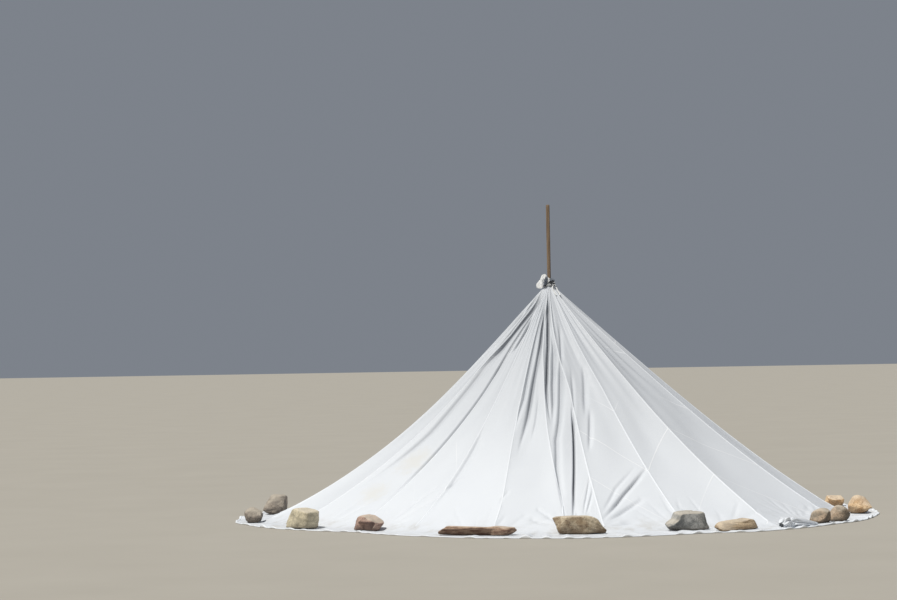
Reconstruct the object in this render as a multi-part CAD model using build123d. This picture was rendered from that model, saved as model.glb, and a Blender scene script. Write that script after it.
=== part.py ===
"""A nomad's tent made from a round parachute: a white cloth of 24 sewn gores hung from one centre pole.

The crown of the cloth is gathered round the pole and lashed with cord. The gores run down from the
lashing as deep flutes that open into nearly flat panels, meet the ground, and end in a skirt that lies
flat under a ring of loose stones. Nothing else holds the tent, and it has no frame and no sewn door.

The origin is the foot of the pole at ground level. +Z is up, and -Y is the side with the long slab,
the middle boulder and the gathered gore. Azimuths are in degrees, 0 at -Y and 90 at +X.
Sizes are in millimetres.
"""

import math
import os
from typing import NamedTuple

from build123d import *

# Pole
CROWN_HEIGHT = 2480.0  # ground to the underside of the lashing
POLE_ABOVE_CROWN = 890.0
POLE_RADIUS = 21.0
POLE_TOP_RADIUS = 20.0  # where it is bare and weathered, above the crown
POLE_TIP_CHAMFER = 4.0
POLE_COLLAR_GAP = 6.0  # from the top of the ruff to where the bare stretch begins

# Cloth, drawn thicker than it is
CLOTH_THICKNESS = 6.0
GORE_COUNT = 24
FLUTE_FACETS = 5  # flat strips across each gore
SEAM_WIDTH = 20.0
SEAM_HEIGHT = 2.5
CLOTH_CLEARANCE = 0.3  # between the cloth, the pole and the cords
SEAM_CLEARANCE = 1.9  # under the seams' tapes

# Neck, where all the cloth is bunched round the pole
NECK_RADIUS = 46.0
NECK_LENGTH = 60.0
NECK_BUNCHING = 0.05  # share of the fall over which the bunched layers part

# Fall of the cloth from neck to ground: share of the spread that is left to the flare at the foot
FLARE = 0.17
FLARE_SWING = 0.07  # slacker on the -X side, tauter on the +X side
STATIONS = (0.05, 0.14, 0.28, 0.45, 0.62, 0.78, 0.90, 1.0)  # shares of the fall
CROWN_SAG = 0.30  # depth of a flute over its width, just below the neck
GROUND_SAG = 0.04  # the same where the cloth meets the ground

# Skirt on the ground
STONE_GAP = 22.0  # from a stone's inner side to the line where the cloth meets the ground
HEM_BAND_WIDTH = 26.0
HEM_BAND_HEIGHT = 3.0
HEM_SCALLOP = 14.0

# Crown ruff: the vent of the parachute, pulled through the lashing and fallen over to the -X side
RUFF_HEIGHT = 52.0
RUFF_SHORT = 0.45  # height of its +X side, as a share
RUFF_RADIUS = 56.0  # of its +X side
RUFF_REACH = 66.0  # how much further out its -X side hangs
RUFF_DROP = 95.0  # how far that side hangs down
RUFF_FLUTES = 9
RUFF_FLUTE_DEPTH = 0.12  # share of the radius

# Lashing
CORD_RADIUS = 6.0
LASHING_TURNS = 5
LASHING_FACETS = 20
KNOT_AZIMUTH = 50.0
KNOT_RADIUS = 15.0
KNOT_FACETS = 12
TAIL_RADIUS = 7.0
TAIL_FACETS = 8

# Points that the cord's free ends follow from the knot's middle: outwards, round to the right, and up
TAIL_ROUTES = {
    "lashing_tail_left": ((0, 0, 0), (5, -35, -36), (30, -42, -87), (73, -45, -133)),
    "lashing_tail_right": ((0, 0, 0), (20, 20, -44), (59, 2, -92), (100, -16, -132)),
}

# Rolled length of loose hem
ROLL_START = 41.0  # azimuth of its fat, twisted end
ROLL_END = 51.0
ROLL_HEIGHT = 105.0
ROLL_END_HEIGHT = 34.0
ROLL_INSET = 125.0  # from the hem to the roll's middle
ROLL_FACETS = 6


class Seam(NamedTuple):
    """A seam between two gores, with its azimuths at the ground and at the crown."""

    ground: float
    crown: float

    def azimuth(self, share):
        """Its azimuth at a share of the fall. The lean ends at the last station above the ground."""
        return self.crown + (self.ground - self.crown) * min(share / STATIONS[-2], 1.0)


# The seams on the front, where the gathers pull them out of their even spacing
FRONT_SEAMS = (
    Seam(-66.5, -66.5),
    Seam(-46.0, -36.0),
    Seam(-28.5, -28.5),
    Seam(-12.0, -20.0),
    Seam(2.0, -8.0),
    Seam(10.5, 6.0),
    Seam(26.5, 23.0),
    Seam(46.0, 43.5),
    Seam(65.5, 65.5),
)


class Stone(NamedTuple):
    """One stone on the skirt. Its depth is measured outwards from the pole, its turn about the vertical."""

    node: str
    azimuth: float
    distance: float  # pole to the stone's middle
    length: float
    depth: float
    height: float
    hem: float  # how far the hem runs out past the stone
    turn: float
    shape: str


STONES = (
    Stone("stones_left_pair", -104.0, 3190, 400, 240, 215, 100, 6, "boulder"),
    Stone("stones_left_pair", -79.0, 3250, 240, 200, 162, 95, -10, "boulder"),
    Stone("stone_pale_block", -57.4, 3045, 390, 230, 208, 95, 8, "block"),
    Stone("stone_brown_block", -42.0, 2780, 320, 215, 158, 120, -6, "block"),
    Stone("stone_long_slab", -14.3, 2990, 770, 205, 92, 250, 3, "slab"),
    Stone("stone_middle_boulder", 5.1, 2890, 515, 270, 176, 470, 0, "boulder"),
    Stone("stone_grey_block", 26.8, 2890, 425, 235, 184, 370, -5, "block"),
    Stone("stone_tan_slab", 34.1, 3190, 515, 200, 104, 250, 4, "slab"),
    Stone("stones_right_pair", 55.2, 3290, 252, 200, 150, 105, 9, "boulder"),
    Stone("stones_right_pair", 60.6, 3335, 218, 195, 160, 100, -14, "boulder"),
    Stone("stones_right_end", 81.6, 3270, 320, 250, 190, 100, 10, "boulder"),
    Stone("stones_right_end", 103.4, 3195, 280, 205, 118, 110, -8, "slab"),
    Stone("stones_back", 124.0, 3200, 380, 230, 170, 110, 7, "boulder"),
    Stone("stones_back", 146.0, 3220, 420, 225, 150, 150, -9, "block"),
    Stone("stones_back", 168.0, 3140, 520, 210, 96, 210, 4, "slab"),
    Stone("stones_back", 190.0, 3200, 400, 245, 185, 130, -5, "boulder"),
    Stone("stones_back", 212.0, 3120, 360, 220, 160, 190, 11, "block"),
    Stone("stones_back", 234.0, 3190, 430, 230, 140, 120, -7, "boulder"),
)

# A stone's corners seen from above, and its outlines from foot to top: share of the height, and spread there
BOULDER_CORNER_COUNT = 10
BLOCK_CORNER_COUNT = 7
SLAB_CORNER_COUNT = 9
STONE_OUTLINES = {
    "boulder": (BOULDER_CORNER_COUNT, ((0.0, 0.84), (0.30, 1.0), (0.66, 0.92), (0.88, 0.70), (1.0, 0.44))),
    "block": (BLOCK_CORNER_COUNT, ((0.0, 0.94), (0.38, 1.0), (0.80, 0.93), (1.0, 0.78))),
    "slab": (SLAB_CORNER_COUNT, ((0.0, 0.93), (0.45, 1.0), (0.82, 0.96), (1.0, 0.88))),
}
STONE_ROUGHNESS = 0.10  # how far a corner wanders, as a share of the stone's size
STONE_CHIPS = 0.10  # how far a corner is chipped back above or below the widest level
STONE_SKEW = 0.07  # how far the top leans over the foot

CROWN_TOP = CROWN_HEIGHT + NECK_LENGTH
RUFF_TOP = CROWN_TOP + RUFF_HEIGHT
POLE_TOP = CROWN_HEIGHT + POLE_ABOVE_CROWN
POLE_BARE_FROM = RUFF_TOP + POLE_COLLAR_GAP
NECK_BORE = POLE_RADIUS + CLOTH_CLEARANCE


def at(radius, azimuth, height):
    """The point at that distance from the pole's axis, azimuth and height."""
    angle = math.radians(azimuth)
    return Vector(radius * math.sin(angle), -radius * math.cos(angle), height)


def seams():
    """The front seams where the gathers hold them, and the rest spaced evenly round the back."""
    first, last = FRONT_SEAMS[0], FRONT_SEAMS[-1]
    behind = GORE_COUNT - len(FRONT_SEAMS)
    step = (360.0 - (last.ground - first.ground)) / (behind + 1)
    plain = [last.ground + step * (i + 1) for i in range(behind)]
    return list(FRONT_SEAMS) + [Seam(azimuth, azimuth) for azimuth in plain]


def gores():
    """Each seam with the next one round, the last with the first."""
    ring = seams()
    once_round = Seam(ring[0].ground + 360, ring[0].crown + 360)
    return list(zip(ring, ring[1:] + [once_round]))


def round_the_ring(azimuth, reach):
    """What reach gives for the stones on each side of that azimuth, in proportion."""
    ring = sorted(STONES, key=lambda stone: stone.azimuth % 360)
    here = azimuth % 360
    for first, second in zip(ring, ring[1:] + ring[:1]):
        start = first.azimuth % 360
        span = (second.azimuth - first.azimuth) % 360
        along = (here - start) % 360
        if along <= span:
            share = along / span
            return reach(first) * (1 - share) + reach(second) * share
    return reach(ring[0])


def ground_radius(azimuth):
    """Where the falling cloth meets the ground, just inside the stones."""
    return round_the_ring(azimuth, lambda s: s.distance - s.depth / 2 - STONE_GAP)


def hem_radius(azimuth):
    """The edge of the skirt, outside the stones."""
    return round_the_ring(azimuth, lambda s: s.distance + s.depth / 2 + s.hem)


def flare(azimuth):
    """How much of the spread comes late, at the foot."""
    return FLARE - FLARE_SWING * math.sin(math.radians(azimuth))


def fall_radius(azimuth, share):
    """The seam's distance from the axis at a share of the fall: a straight slope and a late flare."""
    late = flare(azimuth)
    spread = ground_radius(azimuth) - NECK_RADIUS
    return NECK_RADIUS + spread * share * (1 - late + late * share**3)


def wall_thickness(azimuth, share):
    """The cloth's thickness measured level: bunched to the pole at the neck, one layer at the ground."""
    late = flare(azimuth)
    spread = ground_radius(azimuth) - NECK_RADIUS
    run_over_rise = spread * (1 - late + 4 * late * share**3) / CROWN_HEIGHT
    single = CLOTH_THICKNESS * math.hypot(1, run_over_rise)
    bunched = NECK_RADIUS - NECK_BORE
    return single + (bunched - single) * math.exp(-share / NECK_BUNCHING)


def flute(left, right, share, inset=0.0):
    """The level line of a gore at a share of the fall: it curves in between its seams.

    The inset is a share of the cloth's thickness, 0 on the outside and 1 on the inside.
    """
    height = CROWN_HEIGHT * (1 - share)
    azimuths = (left.azimuth(share), right.azimuth(share))
    ends = [
        at(fall_radius(azimuth, share) - inset * wall_thickness(azimuth, share), azimuth, height)
        for azimuth in azimuths
    ]
    width = (ends[1] - ends[0]).length
    sag = width * (GROUND_SAG + (CROWN_SAG - GROUND_SAG) * (1 - share) ** 3)
    inwards = at(-1, sum(azimuths) / 2, 0)
    line = []
    for i in range(FLUTE_FACETS + 1):
        across = i / FLUTE_FACETS
        line.append(ends[0] + (ends[1] - ends[0]) * across + inwards * sag * 4 * across * (1 - across))
    return line


def ring_line(left, right, radius, height):
    """A level line at one distance from the pole, from seam to seam at the crown."""
    turns = [left.crown + (right.crown - left.crown) * i / FLUTE_FACETS for i in range(FLUTE_FACETS + 1)]
    return [at(radius, azimuth, height) for azimuth in turns]


def hem_line(left, right, inset, height):
    """The hem between two seams, drawn in a little between them, at that inset from the edge."""
    line = []
    for i in range(FLUTE_FACETS + 1):
        across = i / FLUTE_FACETS
        azimuth = left.ground + (right.ground - left.ground) * across
        drawn_in = HEM_SCALLOP * 4 * across * (1 - across)
        line.append(at(hem_radius(azimuth) - drawn_in - inset, azimuth, height))
    return line


def strip(outer, inner):
    """The corners of the closed outline between two lines that run the same way."""
    return outer + inner[::-1]


def outline(corners):
    """A flat face inside those corners."""
    return Face(Wire.make_polygon(corners, close=True))


def skin(rings, tube=False):
    """A solid folded from flat triangles over rings of as many corners, with flat ends.

    Each four-sided patch between two rings is creased along its shorter diagonal. In a tube the last ring
    joins the first and there are no ends.
    """
    bands = list(zip(rings, rings[1:]))
    faces = [] if tube else [outline(rings[0]), outline(rings[-1])]
    if tube:
        bands.append((rings[-1], rings[0]))
    for lower, upper in bands:
        for a, b, c, d in zip(lower, lower[1:] + lower[:1], upper[1:] + upper[:1], upper):
            if (a - c).length < (b - d).length:
                faces += [outline([a, b, c]), outline([a, c, d])]
            else:
                faces += [outline([a, b, d]), outline([b, c, d])]
    return Solid(Shell(faces))


def gore(left, right):
    """One gore: the fluted wall from neck to ground, and its part of the skirt on the ground."""
    rings = [
        strip(ring_line(left, right, NECK_RADIUS, height), ring_line(left, right, NECK_BORE, height))
        for height in (CROWN_TOP, CROWN_HEIGHT)
    ]
    rings += [strip(flute(left, right, share), flute(left, right, share, inset=1.0)) for share in STATIONS]
    skirt = outline(strip(hem_line(left, right, 0, 0), flute(left, right, 1.0, inset=1.0)))
    return skin(rings) + extrude(skirt, amount=CLOTH_THICKNESS, dir=(0, 0, 1))


def step_along(start, end, distance):
    """The point at that distance from start towards end."""
    return start + (end - start).normalized() * distance


def seam_corners(left, seam, right, share):
    """The corners of a seam's tape at one share of the fall, folded over the seam."""
    before = flute(left, seam, share)
    after = flute(seam, right, share)
    half = min(SEAM_WIDTH / 2, 0.9 * (before[-2] - before[-1]).length, 0.9 * (after[1] - after[0]).length)
    azimuth = seam.azimuth(share)
    under = at(SEAM_CLEARANCE, azimuth, 0)
    inside = [
        step_along(before[-1], before[-2], half) + under,
        before[-1] + under,
        step_along(after[0], after[1], half) + under,
    ]
    steepness = wall_thickness(azimuth, share) / CLOTH_THICKNESS
    over = at(SEAM_HEIGHT * min(steepness, 2.0), azimuth, 0)
    return inside + [corner + over for corner in reversed(inside)]


def seam_tape(left, seam, right):
    """The sewn-on tape over one seam: it follows both gores and ends on the skirt."""
    rows = [seam_corners(left, seam, right, share) for share in STATIONS]
    above, ground = rows[-2:]
    lift = (CLOTH_THICKNESS + SEAM_CLEARANCE) / above[0].Z
    rows[-1] = [low + (high - low) * lift for low, high in zip(ground, above)]
    return skin(rows)


def hem_band():
    """The doubled edge tape sewn round the whole hem, on top of the skirt."""
    base = CLOTH_THICKNESS
    outer, inner = [], []
    for left, right in gores():
        outer += hem_line(left, right, 0, base)[:-1]
        inner += hem_line(left, right, HEM_BAND_WIDTH, base)[:-1]
    ring = Face(Wire.make_polygon(outer, close=True), [Wire.make_polygon(inner, close=True)])
    return extrude(ring, amount=HEM_BAND_HEIGHT, dir=(0, 0, 1))


def centre_pole():
    """The round wooden pole, with a bare, weathered stretch above the crown."""
    profile = Polyline(
        (0, 0),
        (POLE_RADIUS, 0),
        (POLE_RADIUS, POLE_BARE_FROM - (POLE_RADIUS - POLE_TOP_RADIUS)),
        (POLE_TOP_RADIUS, POLE_BARE_FROM),
        (POLE_TOP_RADIUS, POLE_TOP - POLE_TIP_CHAMFER),
        (POLE_TOP_RADIUS - POLE_TIP_CHAMFER, POLE_TOP),
        (0, POLE_TOP),
        (0, 0),
    )
    return revolve(Plane.XZ * make_face(profile), Axis.Z)


def ruff_ring(up, out, hang, drop, deep):
    """A closed wavy line round the ruff, at shares of its height, radius, reach, drop and flute depth."""
    points = []
    for azimuth in ruff_azimuths():
        fallen = (0.5 - 0.5 * math.sin(math.radians(azimuth))) ** 2
        wave = 0.5 + 0.5 * math.cos(math.radians(RUFF_FLUTES * azimuth))
        level = RUFF_RADIUS * out + RUFF_REACH * hang * fallen
        height = RUFF_HEIGHT * up * (RUFF_SHORT + (1 - RUFF_SHORT) * fallen) - RUFF_DROP * drop * fallen
        radius = level * (1 + RUFF_FLUTE_DEPTH * deep * wave)
        points.append(at(radius, azimuth, CROWN_TOP + CLOTH_CLEARANCE + height))
    return points


def ruff_azimuths():
    """Evenly round the ruff, with six facets to a flute."""
    steps = 6 * RUFF_FLUTES
    return [360 * i / steps for i in range(steps)]


def crown_ruff():
    """The gathered vent: a frilled collar that sits on the neck round the pole and hangs to one side."""
    clear = (NECK_RADIUS + 2 * CORD_RADIUS + 2) / RUFF_RADIUS
    bore = NECK_BORE / math.cos(math.pi / len(ruff_azimuths())) / RUFF_RADIUS
    shape = (
        (0.0, NECK_RADIUS / RUFF_RADIUS, 0.0, 0.0, 0.0),
        (0.08, clear, 0.0, 0.0, 0.0),
        (0.12, clear + 0.05, 0.85, 1.0, 1.0),
        (0.25, clear + 0.10, 0.94, 0.90, 1.0),
        (0.75, clear + 0.06, 0.72, 0.25, 0.9),
        (1.0, 0.85, 0.38, 0.02, 0.6),
        (0.93, 0.60, 0.10, 0.0, 0.3),
        (0.85, bore, 0.0, 0.0, 0.0),
        (0.0, bore, 0.0, 0.0, 0.0),
    )
    return skin([ruff_ring(*levels) for levels in shape], tube=True)


def crown_lashing():
    """Cord wound tightly round the neck, each turn against the next, and its knot."""
    pitch = NECK_LENGTH / LASHING_TURNS
    inner = NECK_RADIUS + CLOTH_CLEARANCE
    valley = inner + CORD_RADIUS
    crest = inner + 2 * CORD_RADIUS
    profile = [(inner, CROWN_HEIGHT)]
    for turn in range(LASHING_TURNS):
        start = CROWN_HEIGHT + turn * pitch
        profile += [(valley, start), (crest, start + 0.3 * pitch), (crest, start + 0.7 * pitch)]
    profile += [(valley, CROWN_TOP), (inner, CROWN_TOP)]
    step = 360 / LASHING_FACETS
    slack = 1 / math.cos(math.radians(step / 2))
    rings = [[at(out * slack, step * i, up) for i in range(LASHING_FACETS)] for out, up in profile]
    return skin(rings, tube=True) + knot()


def knot_middle():
    """The knot is pulled tight against the outside of the turns."""
    reach = NECK_RADIUS + CLOTH_CLEARANCE + 2 * CORD_RADIUS + 0.55 * KNOT_RADIUS
    return at(reach, KNOT_AZIMUTH, CROWN_HEIGHT + 0.5 * NECK_LENGTH)


def knot():
    """The knot as a ball with flat facets."""
    step = 360 / KNOT_FACETS
    rings = []
    for level in range(KNOT_FACETS // 2):
        rise = math.radians(step * (level + 0.5) - 90)
        out, up = KNOT_RADIUS * math.cos(rise), KNOT_RADIUS * math.sin(rise)
        rings.append([knot_middle() + at(out, step * i, up) for i in range(KNOT_FACETS)])
    return skin(rings)


def lashing_tail(node):
    """One free end of the lashing cord, from the face of the knot down over the cloth to its cut end."""
    outwards = at(1, KNOT_AZIMUTH, 0)
    sideways = at(1, KNOT_AZIMUTH + 90, 0)
    route = []
    for out, side, up in TAIL_ROUTES[node]:
        route.append(knot_middle() + outwards * out + sideways * side + Vector(0, 0, up))
    route[0] = step_along(route[0], route[1], KNOT_RADIUS + CLOTH_CLEARANCE)
    runs = [end - start for start, end in zip(route, route[1:])]
    radii = []
    for before, after in zip(runs, runs[1:]):
        half_turn = math.radians(before.get_angle(after)) / 2
        radii.append(0.45 * min(before.length, after.length) / math.tan(half_turn))
    path = FilletPolyline(route, radius=radii)
    print(node, "runs", [round(run.length) for run in runs], "radii", [round(r) for r in radii])
    print(node, "length", round(path.length))
    section = Plane(origin=route[0], z_dir=runs[0]) * RegularPolygon(TAIL_RADIUS, TAIL_FACETS)
    return sweep(section, path=path)


def stone_solid(stone):
    """A stone as rings of uneven corners that swell and narrow from foot to top, with flat facets."""
    corners, levels = STONE_OUTLINES[stone.shape]
    grain = stone.azimuth + stone.length
    around = []
    for corner in range(corners):
        angle = 2 * math.pi * (corner + 0.2 * math.sin(3 * corner + grain)) / corners
        rough = 1 - STONE_ROUGHNESS * math.sin(2.3 * corner + grain)
        around.append(Vector(math.cos(angle), math.sin(angle), 0) * rough)
    along = stone.length / 2 / max(abs(point.X) for point in around)
    outwards = stone.depth / 2 / max(abs(point.Y) for point in around)
    widest = [Vector(point.X * along, point.Y * outwards, 0) for point in around]
    lean = Vector(stone.length / 2 * math.sin(grain), 0, 0) * STONE_SKEW
    rings = []
    for up, spread in levels:
        middle = lean * up + Vector(0, 0, stone.height * up)
        rings.append([])
        for corner, point in enumerate(widest):
            chip = 0.0 if spread == 1 else STONE_CHIPS * abs(math.sin(1.7 * corner + 9 * up + grain))
            rings[-1].append(point * spread * (1 - chip) + middle)
    seat = at(stone.distance, stone.azimuth, CLOTH_THICKNESS)
    return Location(seat, (0, 0, stone.azimuth + stone.turn)) * skin(rings)


def hem_roll():
    """Spare hem twisted into a roll that lies on the skirt, fat at one end."""
    arches = []
    for share, swell in ((0.0, 0.55), (0.10, 1.0), (0.24, 0.62), (0.38, 0.80), (0.70, 0.50), (1.0, 0.30)):
        azimuth = ROLL_START + (ROLL_END - ROLL_START) * share
        height = max(ROLL_HEIGHT * swell, ROLL_END_HEIGHT)
        base = at(hem_radius(azimuth) - ROLL_INSET, azimuth, CLOTH_THICKNESS)
        side = at(height * 0.6, azimuth, 0)
        arch = []
        for i in range(ROLL_FACETS + 1):
            angle = math.pi * i / ROLL_FACETS
            arch.append(base - side * math.cos(angle) + Vector(0, 0, height * math.sin(angle)))
        arches.append(arch)
    return skin(arches)


def build():
    """Every piece by its node name."""
    panels = gores()
    parts = {}
    for number, (left, right) in enumerate(panels, start=1):
        parts[f"gore_{number:02d}"] = [gore(left, right)]
    parts["seam_tapes"] = []
    for (left, seam), (_, right) in zip(panels, panels[1:]):
        parts["seam_tapes"].append(seam_tape(left, seam, right))
    start = panels[0][0]
    before = panels[-1][0]
    once_back = Seam(before.ground - 360, before.crown - 360)
    parts["seam_tapes"].append(seam_tape(once_back, start, panels[0][1]))
    parts["hem_band"] = [hem_band()]
    parts["hem_roll"] = [hem_roll()]
    parts["centre_pole"] = [centre_pole()]
    parts["crown_ruff"] = [crown_ruff()]
    parts["crown_lashing"] = [crown_lashing()]
    for node in TAIL_ROUTES:
        parts[node] = [lashing_tail(node)]
    for stone in STONES:
        parts.setdefault(stone.node, []).append(stone_solid(stone))
    return parts


def main():
    os.makedirs("parts", exist_ok=True)
    for node, pieces in build().items():
        solids = [solid for piece in pieces for solid in piece.solids()]
        shape = solids[0] if len(solids) == 1 else Compound(children=solids)
        export_step(shape, f"parts/{node}.step")


main()
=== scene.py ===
# %% [markdown]
# A round parachute makes a quick tent. Its middle is pulled together and lashed to one pole, and stones
# hold its hem to the ground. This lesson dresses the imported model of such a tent. Every size is in metres,
# and the frame's origin is the foot of the pole: Z is up, and -Y is the side that the camera sees.
#
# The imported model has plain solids. Here each of them is replaced by a surface that is worked out with
# numpy as a function of two numbers, so that the folds, the sewing and the stones look as they do outdoors.

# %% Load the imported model
import math
from typing import NamedTuple

import bpy
import numpy as np
from mathutils import Matrix


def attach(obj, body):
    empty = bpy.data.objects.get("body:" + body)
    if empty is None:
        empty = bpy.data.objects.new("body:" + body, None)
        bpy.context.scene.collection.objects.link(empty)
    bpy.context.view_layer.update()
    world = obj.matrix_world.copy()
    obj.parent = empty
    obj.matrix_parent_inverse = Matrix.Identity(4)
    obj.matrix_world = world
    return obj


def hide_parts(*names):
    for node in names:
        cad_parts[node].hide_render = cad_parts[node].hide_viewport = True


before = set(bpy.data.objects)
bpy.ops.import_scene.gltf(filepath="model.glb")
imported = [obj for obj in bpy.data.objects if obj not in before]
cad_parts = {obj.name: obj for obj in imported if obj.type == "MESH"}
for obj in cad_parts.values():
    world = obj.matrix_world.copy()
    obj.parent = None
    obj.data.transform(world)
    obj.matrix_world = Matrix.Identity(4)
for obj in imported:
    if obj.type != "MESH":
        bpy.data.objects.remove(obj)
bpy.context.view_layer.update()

# %% [markdown]
# The camera stands 27 m from the pole at eye height, with a long lens, so the tent is seen almost without
# perspective. It leans by about one degree, because the ground falls a little to the left.
#
# A turn could be given as three Euler angles, but three plain rotations are easier to read: look up a
# little, turn to the left, and roll about the line of sight.

# %% Camera
IMAGE_WIDTH = 897
FOCAL_PIXELS = 2480
EYE = (0.0, -27.0, 1.79)
TURN_LEFT = math.radians(2.33)
LOOK_UP = math.radians(1.19)
ROLL = math.radians(-0.957)

lens = bpy.data.cameras.new("camera")
lens.sensor_width = 36.0
lens.lens = lens.sensor_width * FOCAL_PIXELS / IMAGE_WIDTH
camera = bpy.data.objects.new("camera", lens)
camera.matrix_world = (
    Matrix.Translation(EYE)
    @ Matrix.Rotation(TURN_LEFT, 4, "Z")
    @ Matrix.Rotation(math.pi / 2 + LOOK_UP, 4, "X")
    @ Matrix.Rotation(ROLL, 4, "Z")
)
bpy.context.scene.collection.objects.link(camera)
bpy.context.scene.camera = camera
print("lens", round(lens.lens, 1), "mm")

# %% [markdown]
# All new pieces are grids of points. One function turns such a grid into a mesh with four-sided faces, and
# closes it round if its first and last columns are neighbours. Rows run up and columns run to the right as
# seen from outside, so that every face points outwards.
#
# The points go in with `from_pydata`, which is the simplest way to make a mesh from arrays.

# %% From grids to meshes
def grid_faces(rows, columns, closed_across=False, closed_along=False):
    """Four corners for each cell: here, one to the right, that one's upper neighbour, the one above."""
    across = columns if closed_across else columns - 1
    along = rows if closed_along else rows - 1
    row, column = np.meshgrid(np.arange(along), np.arange(across), indexing="ij")
    beside = (column + 1) % columns
    above = (row + 1) % rows
    corners = (row * columns + column, row * columns + beside, above * columns + beside, above * columns + column)
    return np.stack(corners, axis=-1).reshape(-1, 4)


def new_piece(name, points, faces, maps=None, node=None):
    """A smooth mesh object that rides on the tent, with UV maps given as (u, v) for each point."""
    mesh = bpy.data.meshes.new(name)
    mesh.from_pydata(points.reshape(-1, 3), [], faces)
    corner_points = np.zeros(len(mesh.loops), dtype=np.int32)
    mesh.loops.foreach_get("vertex_index", corner_points)
    for label, values in (maps or {}).items():
        layer = mesh.uv_layers.new(name=label)
        layer.uv.foreach_set("vector", values.reshape(-1, 2)[corner_points].astype(np.float32).ravel())
    mesh.shade_smooth()
    mesh.update()
    piece = bpy.data.objects.new(name, mesh)
    bpy.context.scene.collection.objects.link(piece)
    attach(piece, "root")
    if node:
        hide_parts(*([node] if isinstance(node, str) else node))
    triangles = sum(len(p.vertices) - 2 for p in mesh.polygons) if len(mesh.polygons) < 5000 else 2 * len(faces)
    print(name, triangles, "triangles")
    return piece


def at(radius, azimuth, height):
    """Points at a distance from the pole, an azimuth in degrees (0 at -Y, 90 at +X) and a height."""
    angle = np.radians(azimuth)
    return np.stack(np.broadcast_arrays(radius * np.sin(angle), -radius * np.cos(angle), height), axis=-1)


def smooth_step(low, high, value):
    """0 below low, 1 above high, and an S-shaped rise between them."""
    share = np.clip((value - low) / (high - low), 0, 1)
    return share * share * (3 - 2 * share)


# %% [markdown]
# The stones come next, because the cloth runs under them. Their places and sizes are those of the packed
# model: azimuth, distance from the pole, length round the tent, depth outwards and height.

# %% The ring of stones
class Stone(NamedTuple):
    """One stone: how far the hem runs out past it is its last size."""

    node: str
    azimuth: float
    distance: float
    length: float
    depth: float
    height: float
    hem: float
    turn: float
    shape: str
    skyline: tuple = ((-1.0, 0.7), (-0.5, 0.95), (0.0, 1.0), (0.6, 0.9), (1.0, 0.6))
    hollow: tuple = (2.0, 3.0, 0.0)


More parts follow.
